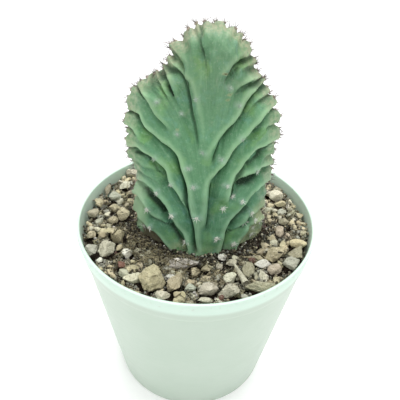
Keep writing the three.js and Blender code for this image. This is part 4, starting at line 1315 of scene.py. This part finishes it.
def tinted_material(name, roughness, grain, mottle, depth, **settings):
    """A rough mineral, wool or horn finish that takes its colour from each shape's tint."""
    paint = Paint(name, roughness, **settings)
    paint.colour = paint.attribute("tint", "Color")
    broad, fine = paint.place.noise(grain * 4, 4, 0.6), paint.place.noise(grain, 5, 0.7)
    pits = paint.place.cells(grain * 1.3).span(0.05, 0.32, 1, 0)
    paint.coat(broad.span(0.3, 0.7, mottle, 0), (0.45, 0.42, 0.36), "MULTIPLY")
    paint.coat(fine.span(0.52, 0.72, 0, mottle), (0.80, 0.76, 0.66))
    # Painted shade in the dented pits
    paint.coat(pits * mottle, (0.12, 0.09, 0.06))
    paint.emboss(broad, depth * 2.5)
    paint.emboss(fine, depth)
    paint.emboss(pits, -depth * 0.8)
    return paint.done(fine.span(0.3, 0.7, roughness - 0.12, min(1, roughness + 0.08)))


def soil_material():
    """Dark crumbly mix with pale specks."""
    paint = Paint("dark_mix", 0.95, Specular_IOR_Level=0.2)
    crumbs = paint.place.noise(0.8, 6, 0.75)
    paint.colour = crumbs.span(0.35, 0.7).mix((0.018, 0.013, 0.009), (0.085, 0.06, 0.04))
    paint.coat(paint.place.cells(1.5).span(0.0, 0.22, 0.8, 0), (0.32, 0.28, 0.2))
    paint.emboss(crumbs, 0.8)
    paint.emboss(paint.place.noise(0.25, 3), 0.2)
    return paint.done()


def pot_material():
    """Pale mint moulded plastic with turning marks, scuffs, dust at the rim, patchy darkening round the
    foot, and painted shade inside.
    """
    paint = Paint("pot_plastic", 0.42, Specular_IOR_Level=0.4, Subsurface_Weight=0.12,
                  Subsurface_Scale=0.002, Subsurface_Radius=(0.8, 1.0, 0.85))
    place, height = paint.place, paint.place.x_and_z()[1]
    scuffs, blotches = place.stretch(0.25, 0.25, 2.5).noise(1.6, 5, 0.7), place.noise(2.4, 6, 0.7)
    paint.colour = place.noise(22, 3).span(0.3, 0.7).mix((0.575, 0.73, 0.63), (0.61, 0.76, 0.665))
    paint.coat(scuffs.span(0.62, 0.8, 0, 0.25), (0.68, 0.80, 0.72))
    # Dust at the rim, and patchy brownish darkening round the foot
    rim_dust = blotches.span(0.55, 0.75, 0, 0.4) * height.span(84, 88)
    foot_darkening = blotches.span(0.5, 0.75, 0, 0.3) * height.span(0, 5, 1, 0)
    paint.coat(rim_dust.larger(foot_darkening), (0.40, 0.36, 0.28))
    # Painted shade on the inside wall, deeper towards the soil
    inside = place.reach().span(RIM_RADIUS - 1.0, RIM_RADIUS - 0.5, 1, 0)
    paint.coat(inside * height.span(84.5, 89, 0.45, 0.16), (0.34, 0.37, 0.29))
    paint.emboss(place.stretch(0.02, 0.02, 1).noise(0.7, 2), 0.05)
    paint.emboss(place.noise(0.5, 3), 0.015)
    return paint.done(scuffs.span(0.35, 0.8, 0.36, 0.58))


def floor_material():
    # The floor glows faintly: painted light that lifts the shadows on it
    paint = Paint("pale_floor", 0.9, Specular_IOR_Level=0.1, Emission_Color=(1, 1, 1, 1),
                  Emission_Strength=0.14)
    paint.colour = paint.place.noise(60, 2).mix((0.955, 0.957, 0.955), (0.97, 0.97, 0.97))
    return paint.done()


# Stage
def make_floor_plane():
    corners = [(x * FLOOR_HALF, y * FLOOR_HALF, 0) for x, y in ((-1, -1), (1, -1), (1, 1), (-1, 1))]
    floor = make_mesh("floor", corners, [(0, 1, 2, 3)], smooth=False)
    floor.data.materials.append(floor_material())


def add_posed(name, data, right, up, back, place):
    """An object that looks along the reverse of back, from a place in millimetres."""
    made = bpy.data.objects.new(name, data)
    columns = np.column_stack([right, up, back, np.array(place) * MM])
    made.matrix_world = Matrix([*columns.tolist(), (0, 0, 0, 1)])
    bpy.context.scene.collection.objects.link(made)
    return made


def add_light(name, place, size, power):
    """A soft square light that looks at the plant, with its place and size in millimetres."""
    light = bpy.data.lights.new(name, "AREA")
    light.size = size * MM
    light.energy = power
    back = unit(np.array(place, float) - LIGHT_TARGET)
    right = unit(np.cross((0.0, 0.001, 1.0), back))
    add_posed(name, light, right, np.cross(back, right), back, place)


def make_camera():
    data = bpy.data.cameras.new("camera")
    data.lens = CAMERA_LENS
    data.sensor_width = FILM_WIDTH
    data.clip_start = 0.01
    bpy.context.scene.camera = add_posed("camera", data, CAMERA_RIGHT, CAMERA_UP, CAMERA_BACK, CAMERA_PLACE)


def make_stage():
    scene = bpy.context.scene
    scene.view_settings.view_transform = "Standard"
    scene.world = bpy.data.worlds.new("bright_room")
    scene.world.use_nodes = True
    background = scene.world.node_tree.nodes["Background"]
    background.inputs["Color"].default_value = (1.0, 1.0, 1.0, 1)
    background.inputs["Strength"].default_value = ROOM_LIGHT
    make_floor_plane()
    for light in LIGHTS:
        add_light(*light)
    make_camera()


def main():
    make_stage()
    places = areole_places()
    finish_piece(make_crest(places), skin_material(), "cactus_skin", "cactus")
    felt, spines = make_areoles(places)
    finish_piece(felt, tinted_material("wool_felt", 0.95, 0.35, 0.25, 0.06), "cactus_skin")
    finish_piece(spines, tinted_material("horn_spines", 0.55, 0.3, 0.3, 0.02), "cactus_skin")
    bed, large, small = lay_stones()
    stone = tinted_material("pumice", 0.92, 0.5, 0.48, 0.3, Specular_IOR_Level=0.2)
    finish_piece(large, stone, "stones", "gravel")
    finish_piece(small, stone, "stones")
    finish_piece(lay_grit(bed), stone, "stones")
    soil = soil_material()
    finish_piece(make_bed_soil(), soil, "potting_mix")
    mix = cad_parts["soil"]
    mix.data.materials.clear()
    mix.data.materials.append(soil)
    finish_piece(make_pot(), pot_material(), "pot_plastic", "pot")


main()
